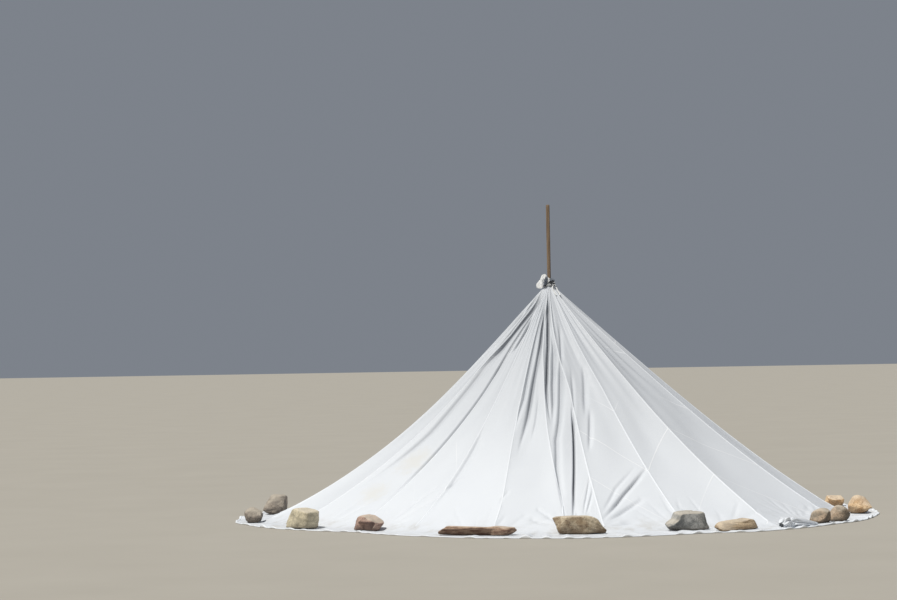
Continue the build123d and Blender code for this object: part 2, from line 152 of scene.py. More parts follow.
STONES = (
    Stone(
        "stones_left_pair", -104.0, 3.190, 0.400, 0.240, 0.215, 0.100, 6, "boulder",
        ((-1.0, 0.8), (-0.7, 1.0), (0.5, 0.95), (0.85, 0.75), (1.0, 0.5)),
    ),
    Stone(
        "stones_left_pair", -79.0, 3.250, 0.240, 0.200, 0.162, 0.095, -10, "boulder",
        ((-1.0, 0.4), (-0.6, 0.8), (0.0, 1.0), (0.6, 0.9), (1.0, 0.6)),
    ),
    Stone(
        "stone_pale_block", -57.4, 3.045, 0.390, 0.230, 0.208, 0.095, 8, "block",
        ((-1.0, 0.45), (-0.8, 0.7), (-0.45, 0.95), (-0.2, 1.0), (0.5, 0.94), (1.0, 0.86)),
    ),
    Stone(
        "stone_brown_block", -42.0, 2.780, 0.320, 0.215, 0.158, 0.120, -6, "block",
        ((-1.0, 0.6), (-0.8, 0.85), (-0.3, 1.0), (0.2, 0.95), (0.7, 0.72), (1.0, 0.5)), (-0.35, 0.95, 0.5),
    ),
    Stone(
        "stone_long_slab", -14.3, 2.990, 0.770, 0.205, 0.092, 0.250, 3, "block",
        ((-1.0, 0.85), (-0.85, 1.0), (-0.3, 0.9), (0.3, 0.85), (0.5, 1.0), (0.7, 0.95), (0.85, 0.9), (1.0, 0.9)),
        (-0.95, 0.45, 0.6),
    ),
    Stone(
        "stone_middle_boulder", 5.1, 2.890, 0.515, 0.270, 0.176, 0.470, 0, "block",
        ((-1.0, 0.9), (-0.85, 0.97), (-0.3, 1.0), (0.3, 0.98), (0.55, 0.88), (0.8, 0.66), (1.0, 0.45)),
    ),
    Stone(
        "stone_grey_block", 26.8, 2.890, 0.425, 0.235, 0.184, 0.370, -5, "block",
        ((-1.0, 0.3), (-0.85, 0.45), (-0.58, 0.62), (-0.5, 0.95), (-0.2, 1.0), (0.7, 1.0), (1.0, 0.9)),
    ),
    Stone(
        "stone_tan_slab", 34.1, 3.190, 0.515, 0.200, 0.104, 0.250, 4, "slab",
        ((-1.0, 0.5), (-0.85, 0.8), (-0.4, 0.85), (0.3, 0.9), (0.5, 1.0), (0.8, 0.9), (1.0, 0.55)),
    ),
    Stone(
        "stones_right_pair", 55.2, 3.290, 0.252, 0.200, 0.150, 0.105, 9, "boulder",
        ((-1.0, 0.5), (-0.6, 0.92), (0.0, 1.0), (0.6, 0.9), (1.0, 0.6)),
    ),
    Stone(
        "stones_right_pair", 60.6, 3.335, 0.218, 0.195, 0.160, 0.100, -14, "boulder",
        ((-1.0, 0.65), (-0.3, 1.0), (0.4, 0.95), (1.0, 0.5)),
    ),
    Stone(
        "stones_right_end", 81.6, 3.270, 0.320, 0.250, 0.190, 0.100, 10, "boulder",
        ((-1.0, 0.65), (-0.5, 0.95), (0.3, 1.0), (0.7, 0.82), (1.0, 0.35)),
    ),
    Stone("stones_right_end", 103.4, 3.195, 0.280, 0.205, 0.118, 0.110, -8, "slab"),
    Stone("stones_back", 124.0, 3.200, 0.380, 0.230, 0.170, 0.110, 7, "boulder"),
    Stone("stones_back", 146.0, 3.220, 0.420, 0.225, 0.150, 0.150, -9, "block"),
    Stone("stones_back", 168.0, 3.140, 0.520, 0.210, 0.096, 0.210, 4, "slab"),
    Stone("stones_back", 190.0, 3.200, 0.400, 0.245, 0.185, 0.130, -5, "boulder"),
    Stone("stones_back", 212.0, 3.120, 0.360, 0.220, 0.160, 0.190, 11, "block"),
    Stone("stones_back", 234.0, 3.190, 0.430, 0.230, 0.140, 0.120, -7, "boulder"),
)
STONE_GAP = 0.022  # from a stone's inner side to the line where the cloth meets the ground
SEAT = 0.006  # the cloth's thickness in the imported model, on which the stones stand


def round_the_ring(azimuth, values):
    """A value between the stones, in proportion to the azimuth."""
    return np.interp(azimuth, [stone.azimuth for stone in STONES], values, period=360)


def ground_radius(azimuth):
    """Where the falling cloth meets the ground, just inside the stones."""
    return round_the_ring(azimuth, [s.distance - s.depth / 2 - STONE_GAP for s in STONES])


def hem_radius(azimuth):
    """The edge of the skirt, outside the stones."""
    return round_the_ring(azimuth, [s.distance + s.depth / 2 + s.hem for s in STONES])


def pressed(points):
    """1 where a stone lies on the cloth, 0 away from stones: how far inside the stones' outlines a point is."""
    most = np.zeros(points.shape[:-1])
    for stone in STONES:
        middle = at(stone.distance, stone.azimuth, 0.0)
        angle = math.radians(stone.azimuth + stone.turn)
        x = points[..., 0] - middle[0]
        y = points[..., 1] - middle[1]
        along = np.abs(x * math.cos(angle) + y * math.sin(angle)) / (stone.length / 2)
        outwards = np.abs(y * math.cos(angle) - x * math.sin(angle)) / (stone.depth / 2)
        most = np.maximum(most, 1 - smooth_step(0.9, 1.5, np.hypot(along, outwards)))
    return most


print("ground line", round(float(ground_radius(0)), 3), "hem", round(float(hem_radius(0)), 3), "m from the pole")

# %% [markdown]
# The cloth has 24 gores, long triangles sewn side by side. Each seam falls from the crown in a straight
# slope that flares out at the foot, and between two seams the cloth curves in like a shallow gutter. The
# front seams are not evenly spaced, because the tent's owner has gathered the cloth there.
#
# The whole sheet could be draped by a simulation, but the gathers and the sewing are known, so the shape is
# written down instead. A place on the sheet is two numbers. `gore` counts seams round the tent, with its
# fraction saying how far it is to the next seam. `fall` is 0 at the crown, 1 at the ground and 2 at the hem.

# %% The cloth without folds
CROWN_HEIGHT = 2.480
NECK_LENGTH = 0.060
NECK_RADIUS = 0.046
GORES = 24
FLARE = 0.17
FLARE_SWING = 0.07
CROWN_SAG = 0.30
GROUND_SAG = 0.04
HEM_SCALLOP = 0.014
FOOT_SLOPE = 0.75  # of the cloth where it reaches the ground

SEAM_STOPS = (0.0, 0.15, 0.45, 0.90)  # shares of the fall
FRONT_SEAMS = (  # azimuths at those stops
    (-62.5, -62.9, -63.8, -65.0),
    (-43.5, -44.1, -45.3, -47.0),
    (-31.0, -31.0, -31.0, -31.0),
    (-19.5, -18.3, -15.9, -12.2),
    (-9.5, -8.8, -3.6, 2.3),
    (2.5, 3.8, 10.6, 10.8),
    (25.6, 26.2, 28.5, 28.2),
    (41.2, 41.6, 43.2, 44.5),
    (65.5, 65.5, 65.5, 65.5),
)
behind = GORES - len(FRONT_SEAMS)


def all_seams(front):
    """The front seams, then evenly spaced ones round the back to the first one again."""
    return np.concatenate([front, np.linspace(front[-1], front[0] + 360, behind + 2)[1:]])


SEAM_AZIMUTHS = np.stack([all_seams(front) for front in zip(*FRONT_SEAMS)])
print("seams round the foot", np.round(SEAM_AZIMUTHS[-1], 1))


def fall_radius(azimuth, fall):
    """The seam's distance from the pole: the spread times a share that lags behind the fall, then flares."""
    late = FLARE - FLARE_SWING * np.sin(np.radians(azimuth))
    spread = ground_radius(azimuth) - NECK_RADIUS
    return NECK_RADIUS + spread * fall * (1 - late + late * fall**3)


def seam_azimuth(number, fall):
    """The seam's azimuth, between those at its four stops."""
    fall = np.clip(fall, 0, SEAM_STOPS[-1])
    stop = np.clip(np.searchsorted(SEAM_STOPS, fall, side="right") - 1, 0, len(SEAM_STOPS) - 2)
    start, end = np.take(SEAM_STOPS, stop), np.take(SEAM_STOPS, stop + 1)
    share = smooth_step(0, 1, (fall - start) / (end - start)) * 0.3 + (fall - start) / (end - start) * 0.7
    return SEAM_AZIMUTHS[stop, number] * (1 - share) + SEAM_AZIMUTHS[stop + 1, number] * share


def whole_and_part(gore):
    """The number of the gore, from 0 to 23, and how far across it the place is."""
    number = np.clip(np.floor(gore + 1e-9), 0, None)
    return (number % GORES).astype(int), gore - number


def azimuth_of(gore, fall):
    """The azimuth of a place, in proportion between its two seams."""
    number, across = whole_and_part(gore)
    left = seam_azimuth(number, fall)
    return left + (seam_azimuth(number + 1, fall) - left) * across


def plain_cloth(gore, fall):
    """The sheet without folds.

    On the wall it is the straight line between the two seams, moved inwards by the sag times 4t(1-t), where
    t is how far across the gore it is. On the skirt it runs straight from the foot of the wall to the hem.
    The height is smoothed where the wall turns into the skirt: half of h plus the root of h squared plus c
    squared, where h is the height that the wall would have without the ground.
    """
    number, across = whole_and_part(gore)
    wall = np.clip(fall, 0, 1)
    ends = []
    for seam in (number, number + 1):
        azimuth = seam_azimuth(seam, wall)
        ends.append(at(fall_radius(azimuth, wall), azimuth, 0.0))
    chord = ends[1] - ends[0]
    width = np.linalg.norm(chord, axis=-1)
    sag = width * (GROUND_SAG + (CROWN_SAG - GROUND_SAG) * (1 - wall) ** 3) * 4 * across * (1 - across)
    middle = azimuth_of(number + 0.5, wall)
    points = ends[0] + chord * across[..., None] - at(1.0, middle, 0.0) * sag[..., None]
    hem_azimuth = azimuth_of(gore, np.ones_like(fall))
    hem = at(hem_radius(hem_azimuth) - HEM_SCALLOP * 4 * across * (1 - across), hem_azimuth, 0.0)
    skirt = np.clip(fall - 1, 0, 1)
    run = np.linalg.norm(hem - points, axis=-1) * skirt
    points = points + (hem - points) * skirt[..., None]
    free = np.where(fall > 1, -FOOT_SLOPE * run, CROWN_HEIGHT * (1 - wall))
    softness = 0.055 - 0.045 * pressed(points)
    height = (free + np.sqrt(free**2 + softness**2)) / 2
    neck = np.clip(-fall, 0, 1)
    points[..., 2] = np.where(fall < 0, CROWN_HEIGHT + NECK_LENGTH * neck, height)
    return points


# %% [markdown]
# Now the folds. There are four kinds, and each is a height to add along the sheet's normal. The gathers
# spread from the lashing and die away down the wall. The named pleats are where they are on this tent.
# Creases fan out from each stone, which pulls on the cloth. And the loose hem ripples between the stones.
#
# A pleat is a valley with one steep side, made from a bell curve that is narrow on one side and wide on
# the other. Its path is given by a few azimuths, each at a share of the fall.

# %% Pleats and creases
class Fold(NamedTuple):
    """A valley: its path as (fall, azimuth) pairs, its width and depth, and how much wider its right side is."""

    path: tuple
    width: float
    depth: float
    lean: float = 2.0


PLEATS = (
    Fold(((0.04, -70.0), (0.13, -76.0), (0.30, -77.5)), 0.020, 0.050, 1.2),
    Fold(((0.03, -59.0), (0.11, -60.8), (0.20, -61.9), (0.36, -62.2)), 0.013, 0.058, 4.5),
    Fold(((0.31, -61.9), (0.45, -61.0), (0.62, -60.6), (0.76, -62.2), (0.86, -62.8)), 0.018, 0.026, 3.0),
    Fold(((0.03, -47.5), (0.11, -47.0), (0.25, -47.7), (0.40, -46.9)), 0.012, 0.050, 2.0),
    Fold(((0.30, -47.2), (0.45, -46.5), (0.60, -47.4), (0.78, -48.6), (0.92, -48.2)), 0.013, 0.034, 3.0),
    Fold(((0.13, -38.2), (0.20, -38.0), (0.30, -41.0)), 0.010, 0.034, 1.5),
    Fold(((0.60, -30.2), (0.72, -30.0), (0.93, -30.4)), 0.012, 0.016, 4.0),
    Fold(
        ((0.04, -20.5), (0.12, -17.2), (0.24, -16.2), (0.35, -15.4), (0.48, -14.3), (0.66, -15.5)),
        0.015, 0.026, 1.5,
    ),
    Fold(
        ((0.09, -12.6), (0.23, -10.4), (0.30, -10.8), (0.42, -11.0), (0.55, -10.9), (0.69, -11.4)),
        0.014, 0.043, 1.8,
    ),
    Fold(((0.46, -6.4), (0.57, -6.8), (0.65, -7.6)), 0.014, 0.012),
    Fold(((0.03, -6.5), (0.15, -3.4), (0.26, -2.3), (0.34, -2.6), (0.44, -2.7), (0.58, -0.4)), 0.013, 0.054, 1.3),
    Fold(((0.22, 3.4), (0.37, 1.9), (0.42, 1.2), (0.50, 1.1), (0.60, 0.4)), 0.018, 0.028, 1.6),
    Fold(
        ((0.30, 8.4), (0.42, 5.8), (0.57, 3.4), (0.65, 1.7), (0.76, 1.4), (0.84, 2.1), (0.94, 2.9)),
        0.022, 0.030, 1.6,
    ),
    Fold(((0.72, 1.0), (0.84, 1.8), (0.95, 2.8)), 0.007, 0.016, 1.2),
    Fold(((0.53, 9.6), (0.63, 8.4), (0.735, 7.0), (0.84, 5.6), (0.97, 4.3)), 0.010, 0.056, 1.2),
    Fold(((0.18, 13.2), (0.24, 11.5), (0.33, 8.4)), 0.012, 0.018),
    Fold(((0.34, 24.4), (0.41, 21.0), (0.48, 17.8), (0.56, 15.0)), 0.020, 0.018, 1.6),
    Fold(((0.53, 18.2), (0.62, 15.1), (0.70, 12.6)), 0.016, 0.020, 1.6),
    Fold(((0.36, 14.6), (0.47, 11.8), (0.58, 9.3)), 0.014, 0.012, 1.6),
    Fold(((0.03, 60.0), (0.20, 59.0), (0.45, 60.0)), 0.030, 0.016),
)
STONE_CREASES = (
    Fold(((0.955, 11.0), (0.865, 18.5), (0.770, 28.0)), 0.011, 0.036),
    Fold(((0.935, 11.0), (0.842, 17.0), (0.768, 24.6)), 0.010, 0.012),
    Fold(((0.965, 11.6), (0.918, 18.0), (0.890, 22.0)), 0.013, 0.022),
    Fold(((0.985, 11.6), (0.975, 16.0)), 0.011, 0.018),
    Fold(((0.940, 6.8), (0.900, 7.7), (0.800, 10.5)), 0.007, 0.014),
    Fold(((0.940, 7.4), (0.848, 10.5)), 0.007, 0.016),
    Fold(((0.960, 0.4), (0.920, -3.5)), 0.010, 0.014),
    Fold(((0.975, 0.2), (0.955, -4.5)), 0.009, 0.014),
    Fold(((0.948, -39.5), (0.905, -38.2), (0.836, -34.5)), 0.011, 0.014),
    Fold(((0.970, -38.5), (0.915, -35.0), (0.874, -30.9)), 0.011, 0.012),
    Fold(((0.900, -33.2), (0.855, -31.6), (0.800, -29.0)), 0.010, 0.012),
    Fold(((0.852, -11.6), (0.866, -12.6), (0.895, -12.8)), 0.010, 0.010),
)
SLIT_WIDTH = 0.008
SLIT_DEPTH = 0.050  # of a fold that closes
seeded = np.random.default_rng(7)


def fold_shapes(folds, azimuth, fall):
    """For each fold: how far a place is from its path in widths, in metres, and how faded it is by its ends."""
    radius = fall_radius(azimuth, np.clip(fall, 0, 1))
    for fold in folds:
        path = np.array(fold.path)
        path = path[np.argsort(path[:, 0])]
        start, end = path[0, 0], path[-1, 0]
        length = end - start
        middle = np.interp(fall, path[:, 0], path[:, 1])
        slant = np.gradient(path[:, 1], path[:, 0]).mean()
        steep = math.hypot(1, math.radians(slant) * float(fall_radius(path[0, 1], start)) / 3.9)
        away = np.radians((azimuth - middle + 180) % 360 - 180) * radius / steep
        side = np.where(away > 0, fold.width * fold.lean, fold.width)
        fade = smooth_step(start - 0.02, start + min(0.08, 0.4 * length), fall)
        fade = fade * (1 - smooth_step(end - 0.35 * length, end + 0.05 * length, fall))
        yield fold, away / side, away, fade


def fold_height(folds, azimuth, fall):
    """The sum of the valleys: minus the depth times a bell curve of the distance from the path."""
    total = np.zeros(np.broadcast(azimuth, fall).shape)
    for fold, widths, _, fade in fold_shapes(folds, azimuth, fall):
        total -= fold.depth * fade * np.exp(-(widths**2))
    return total


def slit_share(folds, azimuth, fall):
    """How near a place is to the bottom of a fold, where the cloth nearly closes on itself and a shadow line is
    painted.
    """
    total = np.zeros(np.broadcast(azimuth, fall).shape)
    for fold, _, away, fade in fold_shapes(folds, azimuth, fall):
        middle = -0.4 * fold.width
        total += min(fold.depth / SLIT_DEPTH, 1) ** 2 * fade * np.exp(-(((away - middle) / SLIT_WIDTH) ** 2))
    return np.minimum(total, 1)


def fans():
    """Creases up the wall from each stone, with their lengths and directions drawn from a fixed seed."""
    creases = []
    for stone in STONES:
        reach = math.degrees(stone.length / 2 / stone.distance)
        for turn in np.linspace(-62, 62, 7):
            length = seeded.uniform(0.12, 0.42)
            start = stone.azimuth + reach * turn / 62 + seeded.uniform(-0.6, 0.6)
            end = start + math.degrees(length * math.sin(math.radians(turn)) / 2.7)
            rise = length * math.cos(math.radians(turn)) / 3.9
            creases.append(
                Fold(((0.985 - rise, end), (0.985, start)), seeded.uniform(0.008, 0.016), seeded.uniform(0.004, 0.010))
            )
    return creases


FAN_CREASES = fans()
print(len(PLEATS), "pleats,", len(STONE_CREASES), "named creases and", len(FAN_CREASES), "seeded ones")

# %% [markdown]
# The gathers are waves across each gore, with two to seven to a gore. Their sizes come from a fixed seed,
# so every run gives the same tent, and they fade to nothing at the seams, where the tape holds the cloth.

# %% Gathers, slack and ripples
gather_size = seeded.uniform(0.3, 1.0, (GORES, 4))
gather_place = seeded.uniform(0, 2 * math.pi, (GORES, 4))
gather_size[len(FRONT_SEAMS):] *= 1.5  # the back hangs looser
WAVES = ((2, 0.014, 2.2), (3, 0.012, 3.0), (5, 0.007, 5.0), (7, 0.004, 7.0))  # to a gore, height, haste to fade
ripple_place = seeded.uniform(0, 2 * math.pi, 12)
ripple_count = seeded.integers(24, 130, 12)
SLACK = 0.012
RIPPLE = 0.0042


def gather_height(gore, fall):
    """Waves across the gore times a fade down the wall, and a bell that is nothing at the seams."""
    number, across = whole_and_part(gore)
    wall = np.clip(fall, 0, 1)
    held = np.abs(np.sin(math.pi * across)) ** 0.7
    total = np.zeros(np.broadcast(gore, fall).shape)
    for i, (count, height, haste) in enumerate(WAVES):
        room = smooth_step(0.0, 0.075 * count, wall)
        wave = np.cos(2 * math.pi * count * across + gather_place[number, i])
        total += height * gather_size[number, i] * wave * room * (1 - wall) ** haste
    return total * held


def slack_height(gore, fall):
    """Broad, low swells of loose cloth on the lower wall."""
    number, across = whole_and_part(gore)
    place = gather_place[number, 0]
    swell = np.sin(9 * fall + place) * np.sin(math.pi * across) + 0.5 * np.sin(17 * fall + 5 * across + place)
    return SLACK * swell * np.sin(math.pi * across) * smooth_step(0.25, 0.6, fall) * (1 - smooth_step(0.93, 1, fall))


def ripple_height(gore, fall, points):
    """Ripples of the loose hem: waves round the tent, growing towards the edge and flat under the stones."""
    turn = np.radians(azimuth_of(gore, np.ones_like(fall)))
    waves = np.zeros(turn.shape)
    for count, place in zip(ripple_count, ripple_place):
        waves += np.sin(count * turn + place)
    grown = smooth_step(0.95, 1.8, fall)
    return RIPPLE * np.maximum(waves, 0) * grown * (1 - pressed(points))


def folding_way(azimuth, fall):
    """The way in which folds stand out: square to the tent's cone on the wall, turning upright at the ground."""
    wall = np.clip(fall, 0.002, 1)
    widening = (fall_radius(azimuth, wall) - fall_radius(azimuth, wall - 0.002)) / 0.002
    way = at(CROWN_HEIGHT * (1 - smooth_step(0.92, 1.04, fall)), azimuth, widening)
    return way / np.linalg.norm(way, axis=-1, keepdims=True)


def cloth(gore, fall):
    """The finished sheet: the plain cloth with all the folds, kept off the ground."""
    gore = np.asarray(gore, float)
    fall = np.asarray(fall, float)
    gore, fall = np.broadcast_arrays(gore, fall)
    plain = plain_cloth(gore, fall)
    azimuth = azimuth_of(gore, np.clip(fall, 0, 1))
    normal = folding_way(azimuth, fall)
    folds = fold_height(PLEATS + STONE_CREASES, azimuth, fall) + fold_height(FAN_CREASES, azimuth, fall)
    height = folds + gather_height(gore, fall) + slack_height(gore, fall) + ripple_height(gore, fall, plain)
    height = height * smooth_step(0.0, 0.06, fall)
    points = plain + normal * height[..., None]
    points[..., 2] = np.maximum(points[..., 2], 0.0025)
    return points


# %% [markdown]
# The sheet is made in four pieces that meet on seams. Those that face the camera are finer. Rows are close
# together near the crown, where the folds are small.
#
# Three UV maps go with it. `Cloth` holds metres across and along the cut cloth, for the weave. `Sewing`
# holds the distance to the nearest seam and a number that is whole at the seams between the cloth's bias
# panels. `FoldShade` holds how deep a place lies in a pleat and how near it is to its bottom, where the
# shader paints shade into the colour.

# %% The canopy
CUT_RADIUS = 4.4  # the parachute's radius, cut flat
WALL_ROWS = 270
SKIRT_ROWS = 22
CANOPY_PARTS = (  # name, first gore, gores, columns to a gore
    ("canopy_front_left", 0, 4, 70),
    ("canopy_front_right", 4, 4, 70),
    ("canopy_back_right", 8, 8, 32),
    ("canopy_back_left", 16, 8, 32),
)
fall_rows = np.concatenate([
    [-1.0, -0.5],
    np.linspace(0, 1, WALL_ROWS) ** 1.35,
    1 + np.linspace(0, 1, SKIRT_ROWS + 1)[1:],
])[::-1]


def sewing_map(gore, fall):
    """Distance to the nearest seam in metres, and the panel number, which zigzags from seam to seam."""
    number, across = whole_and_part(gore)
    along = CUT_RADIUS * np.clip(fall / 1.1, 0, 1)
    width = 2 * math.pi * along / GORES
    nearest = np.minimum(across, 1 - across) * width
    low = (fall - 0.30) / 0.24
    high = (fall - 0.24) / 0.186
    odd = number % 2 == 0
    share = np.where(odd, across, 1 - across)
    panel = low + (high - low) * share
    return np.stack([nearest, panel], axis=-1)


def cloth_map(gore, fall):
    """Metres across the gore and metres down it."""
    number, across = whole_and_part(gore)
    along = CUT_RADIUS * np.clip(fall, -0.03, 2) / 1.1
    width = 2 * math.pi * np.abs(along) / GORES
    return np.stack([(across - 0.5) * width + number * 1.3, along], axis=-1)


def canopy(name, first, count, columns):
    """Part of the sheet, over that many gores."""
    places = first + np.linspace(0, count, count * columns + 1)
    gore, fall = np.meshgrid(places, fall_rows)
    gore = np.where(gore == first + count, gore - 1e-6, gore)
    faces = grid_faces(len(fall_rows), len(places))
    azimuth = azimuth_of(gore, np.clip(fall, 0, 1))
    folds = PLEATS + STONE_CREASES
    fold_shade = np.stack([-fold_height(folds, azimuth, fall), slit_share(folds, azimuth, fall)], axis=-1)
    maps = {"Cloth": cloth_map(gore, fall), "Sewing": sewing_map(gore, fall), "FoldShade": fold_shade}
    nodes = [f"gore_{i + 1:02d}" for i in range(first, first + count)]
    return new_piece(name, cloth(gore, fall), faces, maps, nodes)


canopies = [canopy(*part) for part in CANOPY_PARTS]

# %% [markdown]
# A narrow tape is sewn over every seam. It is a strip on the same surface: five points across, with the
# middle ones lifted a little and the outer ones pressed into the cloth.

# %% Seam tapes
TAPE_HALF = 0.009
TAPE_LIFT = 0.0032
TAPE_ROWS = 130
tape_profile = ((-1.0, -0.3), (-0.86, 0.8), (0.0, 1.1), (0.86, 0.8), (1.0, -0.3))  # across, lift
tape_falls = np.linspace(0.985, 0.012, TAPE_ROWS)


def tape_points(seam):
    """A strip on the cloth: the sheet at the seam, plus the way across, plus the lift along the normal."""
    middle = cloth(np.full(TAPE_ROWS, float(seam)), tape_falls)
    left = cloth(np.full(TAPE_ROWS, seam - 0.03 if seam else GORES - 0.03), tape_falls)
    right = cloth(np.full(TAPE_ROWS, seam + 0.03), tape_falls)
    across = right - left
    across /= np.linalg.norm(across, axis=-1, keepdims=True)
    down = np.gradient(middle, axis=0)
    normal = np.cross(across, down)
    normal /= np.linalg.norm(normal, axis=-1, keepdims=True)
    half = np.minimum(TAPE_HALF, 0.25 * np.linalg.norm(right - left, axis=-1) / 0.06 * 0.3)[:, None, None]
    side = np.array([place for place, _ in tape_profile])[None, :, None]
    lift = np.array([rise for _, rise in tape_profile])[None, :, None]
    drop = np.where(side < 0, ((left - middle) * normal).sum(-1)[:, None, None], ((right - middle) * normal).sum(-1)[:, None, None])
    reach = np.linalg.norm(right - left, axis=-1)[:, None, None] / 2
    fold = drop * np.abs(side) * half / np.maximum(reach, 1e-5)
    return middle[:, None] + across[:, None] * side * half + normal[:, None] * (lift * TAPE_LIFT + fold)


def tapes():
    """All 24 tapes in one mesh, with metres along and across as their UV map."""
    points = np.stack([tape_points(seam) for seam in range(GORES)])
    one = grid_faces(TAPE_ROWS, len(tape_profile))
    faces = np.concatenate([one + i * TAPE_ROWS * len(tape_profile) for i in range(GORES)])
    along = np.broadcast_to((tape_falls * 4.0)[None, :, None], points.shape[:3])
    across = np.broadcast_to(np.array([p for p, _ in tape_profile])[None, None, :] * TAPE_HALF, points.shape[:3])
    return new_piece("sewn_tapes", points, faces, {"Cloth": np.stack([across, along], -1)}, "seam_tapes")


seam_tapes = tapes()

# %% [markdown]
# The hem is turned over and stitched, and a cord in it makes its edge thick. It is a closed strip: an oval
# section carried round the edge of the sheet.

# %% Hem band
HEM_STEPS = GORES * 48
HEM_WIDTH = 0.026
HEM_THICK = 0.010
places = np.linspace(0, GORES, HEM_STEPS, endpoint=False)
edge = cloth(places, np.full(HEM_STEPS, 2.0))
inside = cloth(places, np.full(HEM_STEPS, 1.94))
inwards = inside - edge
inwards /= np.linalg.norm(inwards, axis=-1, keepdims=True)
turn = np.linspace(0, 2 * math.pi, 12, endpoint=False)
section = np.stack([HEM_WIDTH / 2 * (1 - np.cos(turn)), HEM_THICK / 2 * (1 + np.sin(turn))], -1)
lift = np.array([0, 0, 1.0])
band = edge[:, None] + inwards[:, None] * section[None, :, :1] + lift * section[None, :, 1:]
band[..., 2] -= HEM_THICK * 0.25
upper = section[None, :, 1] / HEM_THICK
band[..., 2] = 0.0015 + (band[..., 2] - 0.0015) * smooth_step(0.0, 0.7, upper)
along = np.linspace(0, 27, HEM_STEPS)
band_map = np.stack(np.broadcast_arrays(section[None, :, 0], along[:, None]), -1)
hem_band = new_piece("stitched_hem", band, grid_faces(HEM_STEPS, 12, True, True), {"Cloth": band_map}, "hem_band")
print("hem from", round(float(band[..., 2].min()), 4), "to", round(float(band[..., 2].max()), 4), "m high")

# %% [markdown]
# Above the crown the cloth is lashed to the pole with a twisted cord of a pale and a dark strand. A strand
# is a tube whose middle runs round the cord's own line: the line's point, plus the strand's distance times
# the cosine of the twist across and its sine the other way.
#
# The free ends hang from the knot down over the cloth. Their lines are smooth NURBS curves through the same
# points as the imported model's.

# %% Twisted cord
CORD_RADIUS = 0.006
TAIL_RADIUS = 0.007
KNOT_AZIMUTH = 50.0
KNOT_RADIUS = 0.015
CLOTH_CLEARANCE = 0.0003
TAIL_ROUTES = {
    "lashing_tail_left": ((0, 0, 0), (0.005, -0.035, -0.036), (0.030, -0.042, -0.087), (0.073, -0.045, -0.133)),
    "lashing_tail_right": ((0, 0, 0), (0.020, 0.020, -0.044), (0.059, 0.002, -0.092), (0.100, -0.016, -0.132)),
}
knot_reach = NECK_RADIUS + CLOTH_CLEARANCE + 2 * CORD_RADIUS + 0.55 * KNOT_RADIUS
knot_middle = at(knot_reach, KNOT_AZIMUTH, CROWN_HEIGHT + 0.5 * NECK_LENGTH)


def unit(vectors):
    """Vectors scaled to a length of one."""
    return vectors / np.linalg.norm(vectors, axis=-1, keepdims=True)


def tube(line, radius, sides, reference):
    """Rings round a line: its points plus the radius times cosine and sine along two directions across it."""
    line = np.asarray(line, float)
    tangent = unit(np.gradient(line, axis=0))
    across = unit(np.cross(tangent, reference))
    up = np.cross(across, tangent)
    angle = np.linspace(0, 2 * math.pi, sides, endpoint=False)[None, :, None]
    thick = np.broadcast_to(radius, len(line))[:, None, None]
    return line[:, None] + thick * (np.cos(angle) * across[:, None] + np.sin(angle) * up[:, None])


def strand(line, distance, radius, pitch, phase, sides, reference):
    """One strand of a cord, its middle turning round the line once in every pitch."""
    line = np.asarray(line, float)
    tangent = unit(np.gradient(line, axis=0))
    across = unit(np.cross(tangent, reference))
    up = np.cross(across, tangent)
    length = np.concatenate([[0], np.cumsum(np.linalg.norm(np.diff(line, axis=0), axis=1))])
    twist = (2 * math.pi * length / pitch + phase)[:, None]
    middle = line + distance * (np.cos(twist) * across + np.sin(twist) * up)
    rings = tube(middle, radius, sides, reference)
    rings[0] = rings[0].mean(0) + (rings[0] - rings[0].mean(0)) * 0.5
    rings[-1] = rings[-1].mean(0) + (rings[-1] - rings[-1].mean(0)) * 0.5
    return rings, length


def twisted(name, line, radius, reference, closed=False, node=None, strands=3, shades=(0.0, 0.0, 1.0)):
    """Several strands in one mesh. Its UV map holds metres along and the strand's shade."""
    points, faces, maps, first = [], [], [], 0
    for i in range(strands):
        rings, length = strand(
            line, radius * 0.5, radius * 0.52, radius * 7, 2 * math.pi * i / strands, 8, reference
        )
        points.append(rings.reshape(-1, 3))
        cells = grid_faces(len(rings), 8, True, closed) + first
        faces += [tuple(cell) for cell in cells.tolist()]
        if not closed:
            faces.append(tuple(first + np.arange(8)[::-1]))
            faces.append(tuple(first + (len(rings) - 1) * 8 + np.arange(8)))
        shade = np.full((len(rings), 8), shades[i])
        along = np.broadcast_to(length[:, None], shade.shape)
        maps.append(np.stack([along, shade], -1).reshape(-1, 2))
        first += len(rings) * 8
    return new_piece(name, np.concatenate(points), faces, {"Cord": np.concatenate(maps)}, node)


def smooth_line(name, route):
    """Points along a NURBS curve of order 3 that has the route's points as its control points."""
    curve = bpy.data.curves.new(name, "CURVE")
    curve.dimensions = "3D"
    curve.resolution_u = 24
    spline = curve.splines.new("NURBS")
    spline.points.add(len(route) - 1)
    spline.points.foreach_set("co", np.concatenate([route, np.ones((len(route), 1))], axis=1).ravel())
    spline.order_u = 3
    spline.use_endpoint_u = True
    holder = bpy.data.objects.new(name, curve)
    mesh = bpy.data.meshes.new_from_object(holder)
    points = np.zeros(len(mesh.vertices) * 3)
    mesh.vertices.foreach_get("co", points)
    bpy.data.objects.remove(holder)
    return points.reshape(-1, 3)


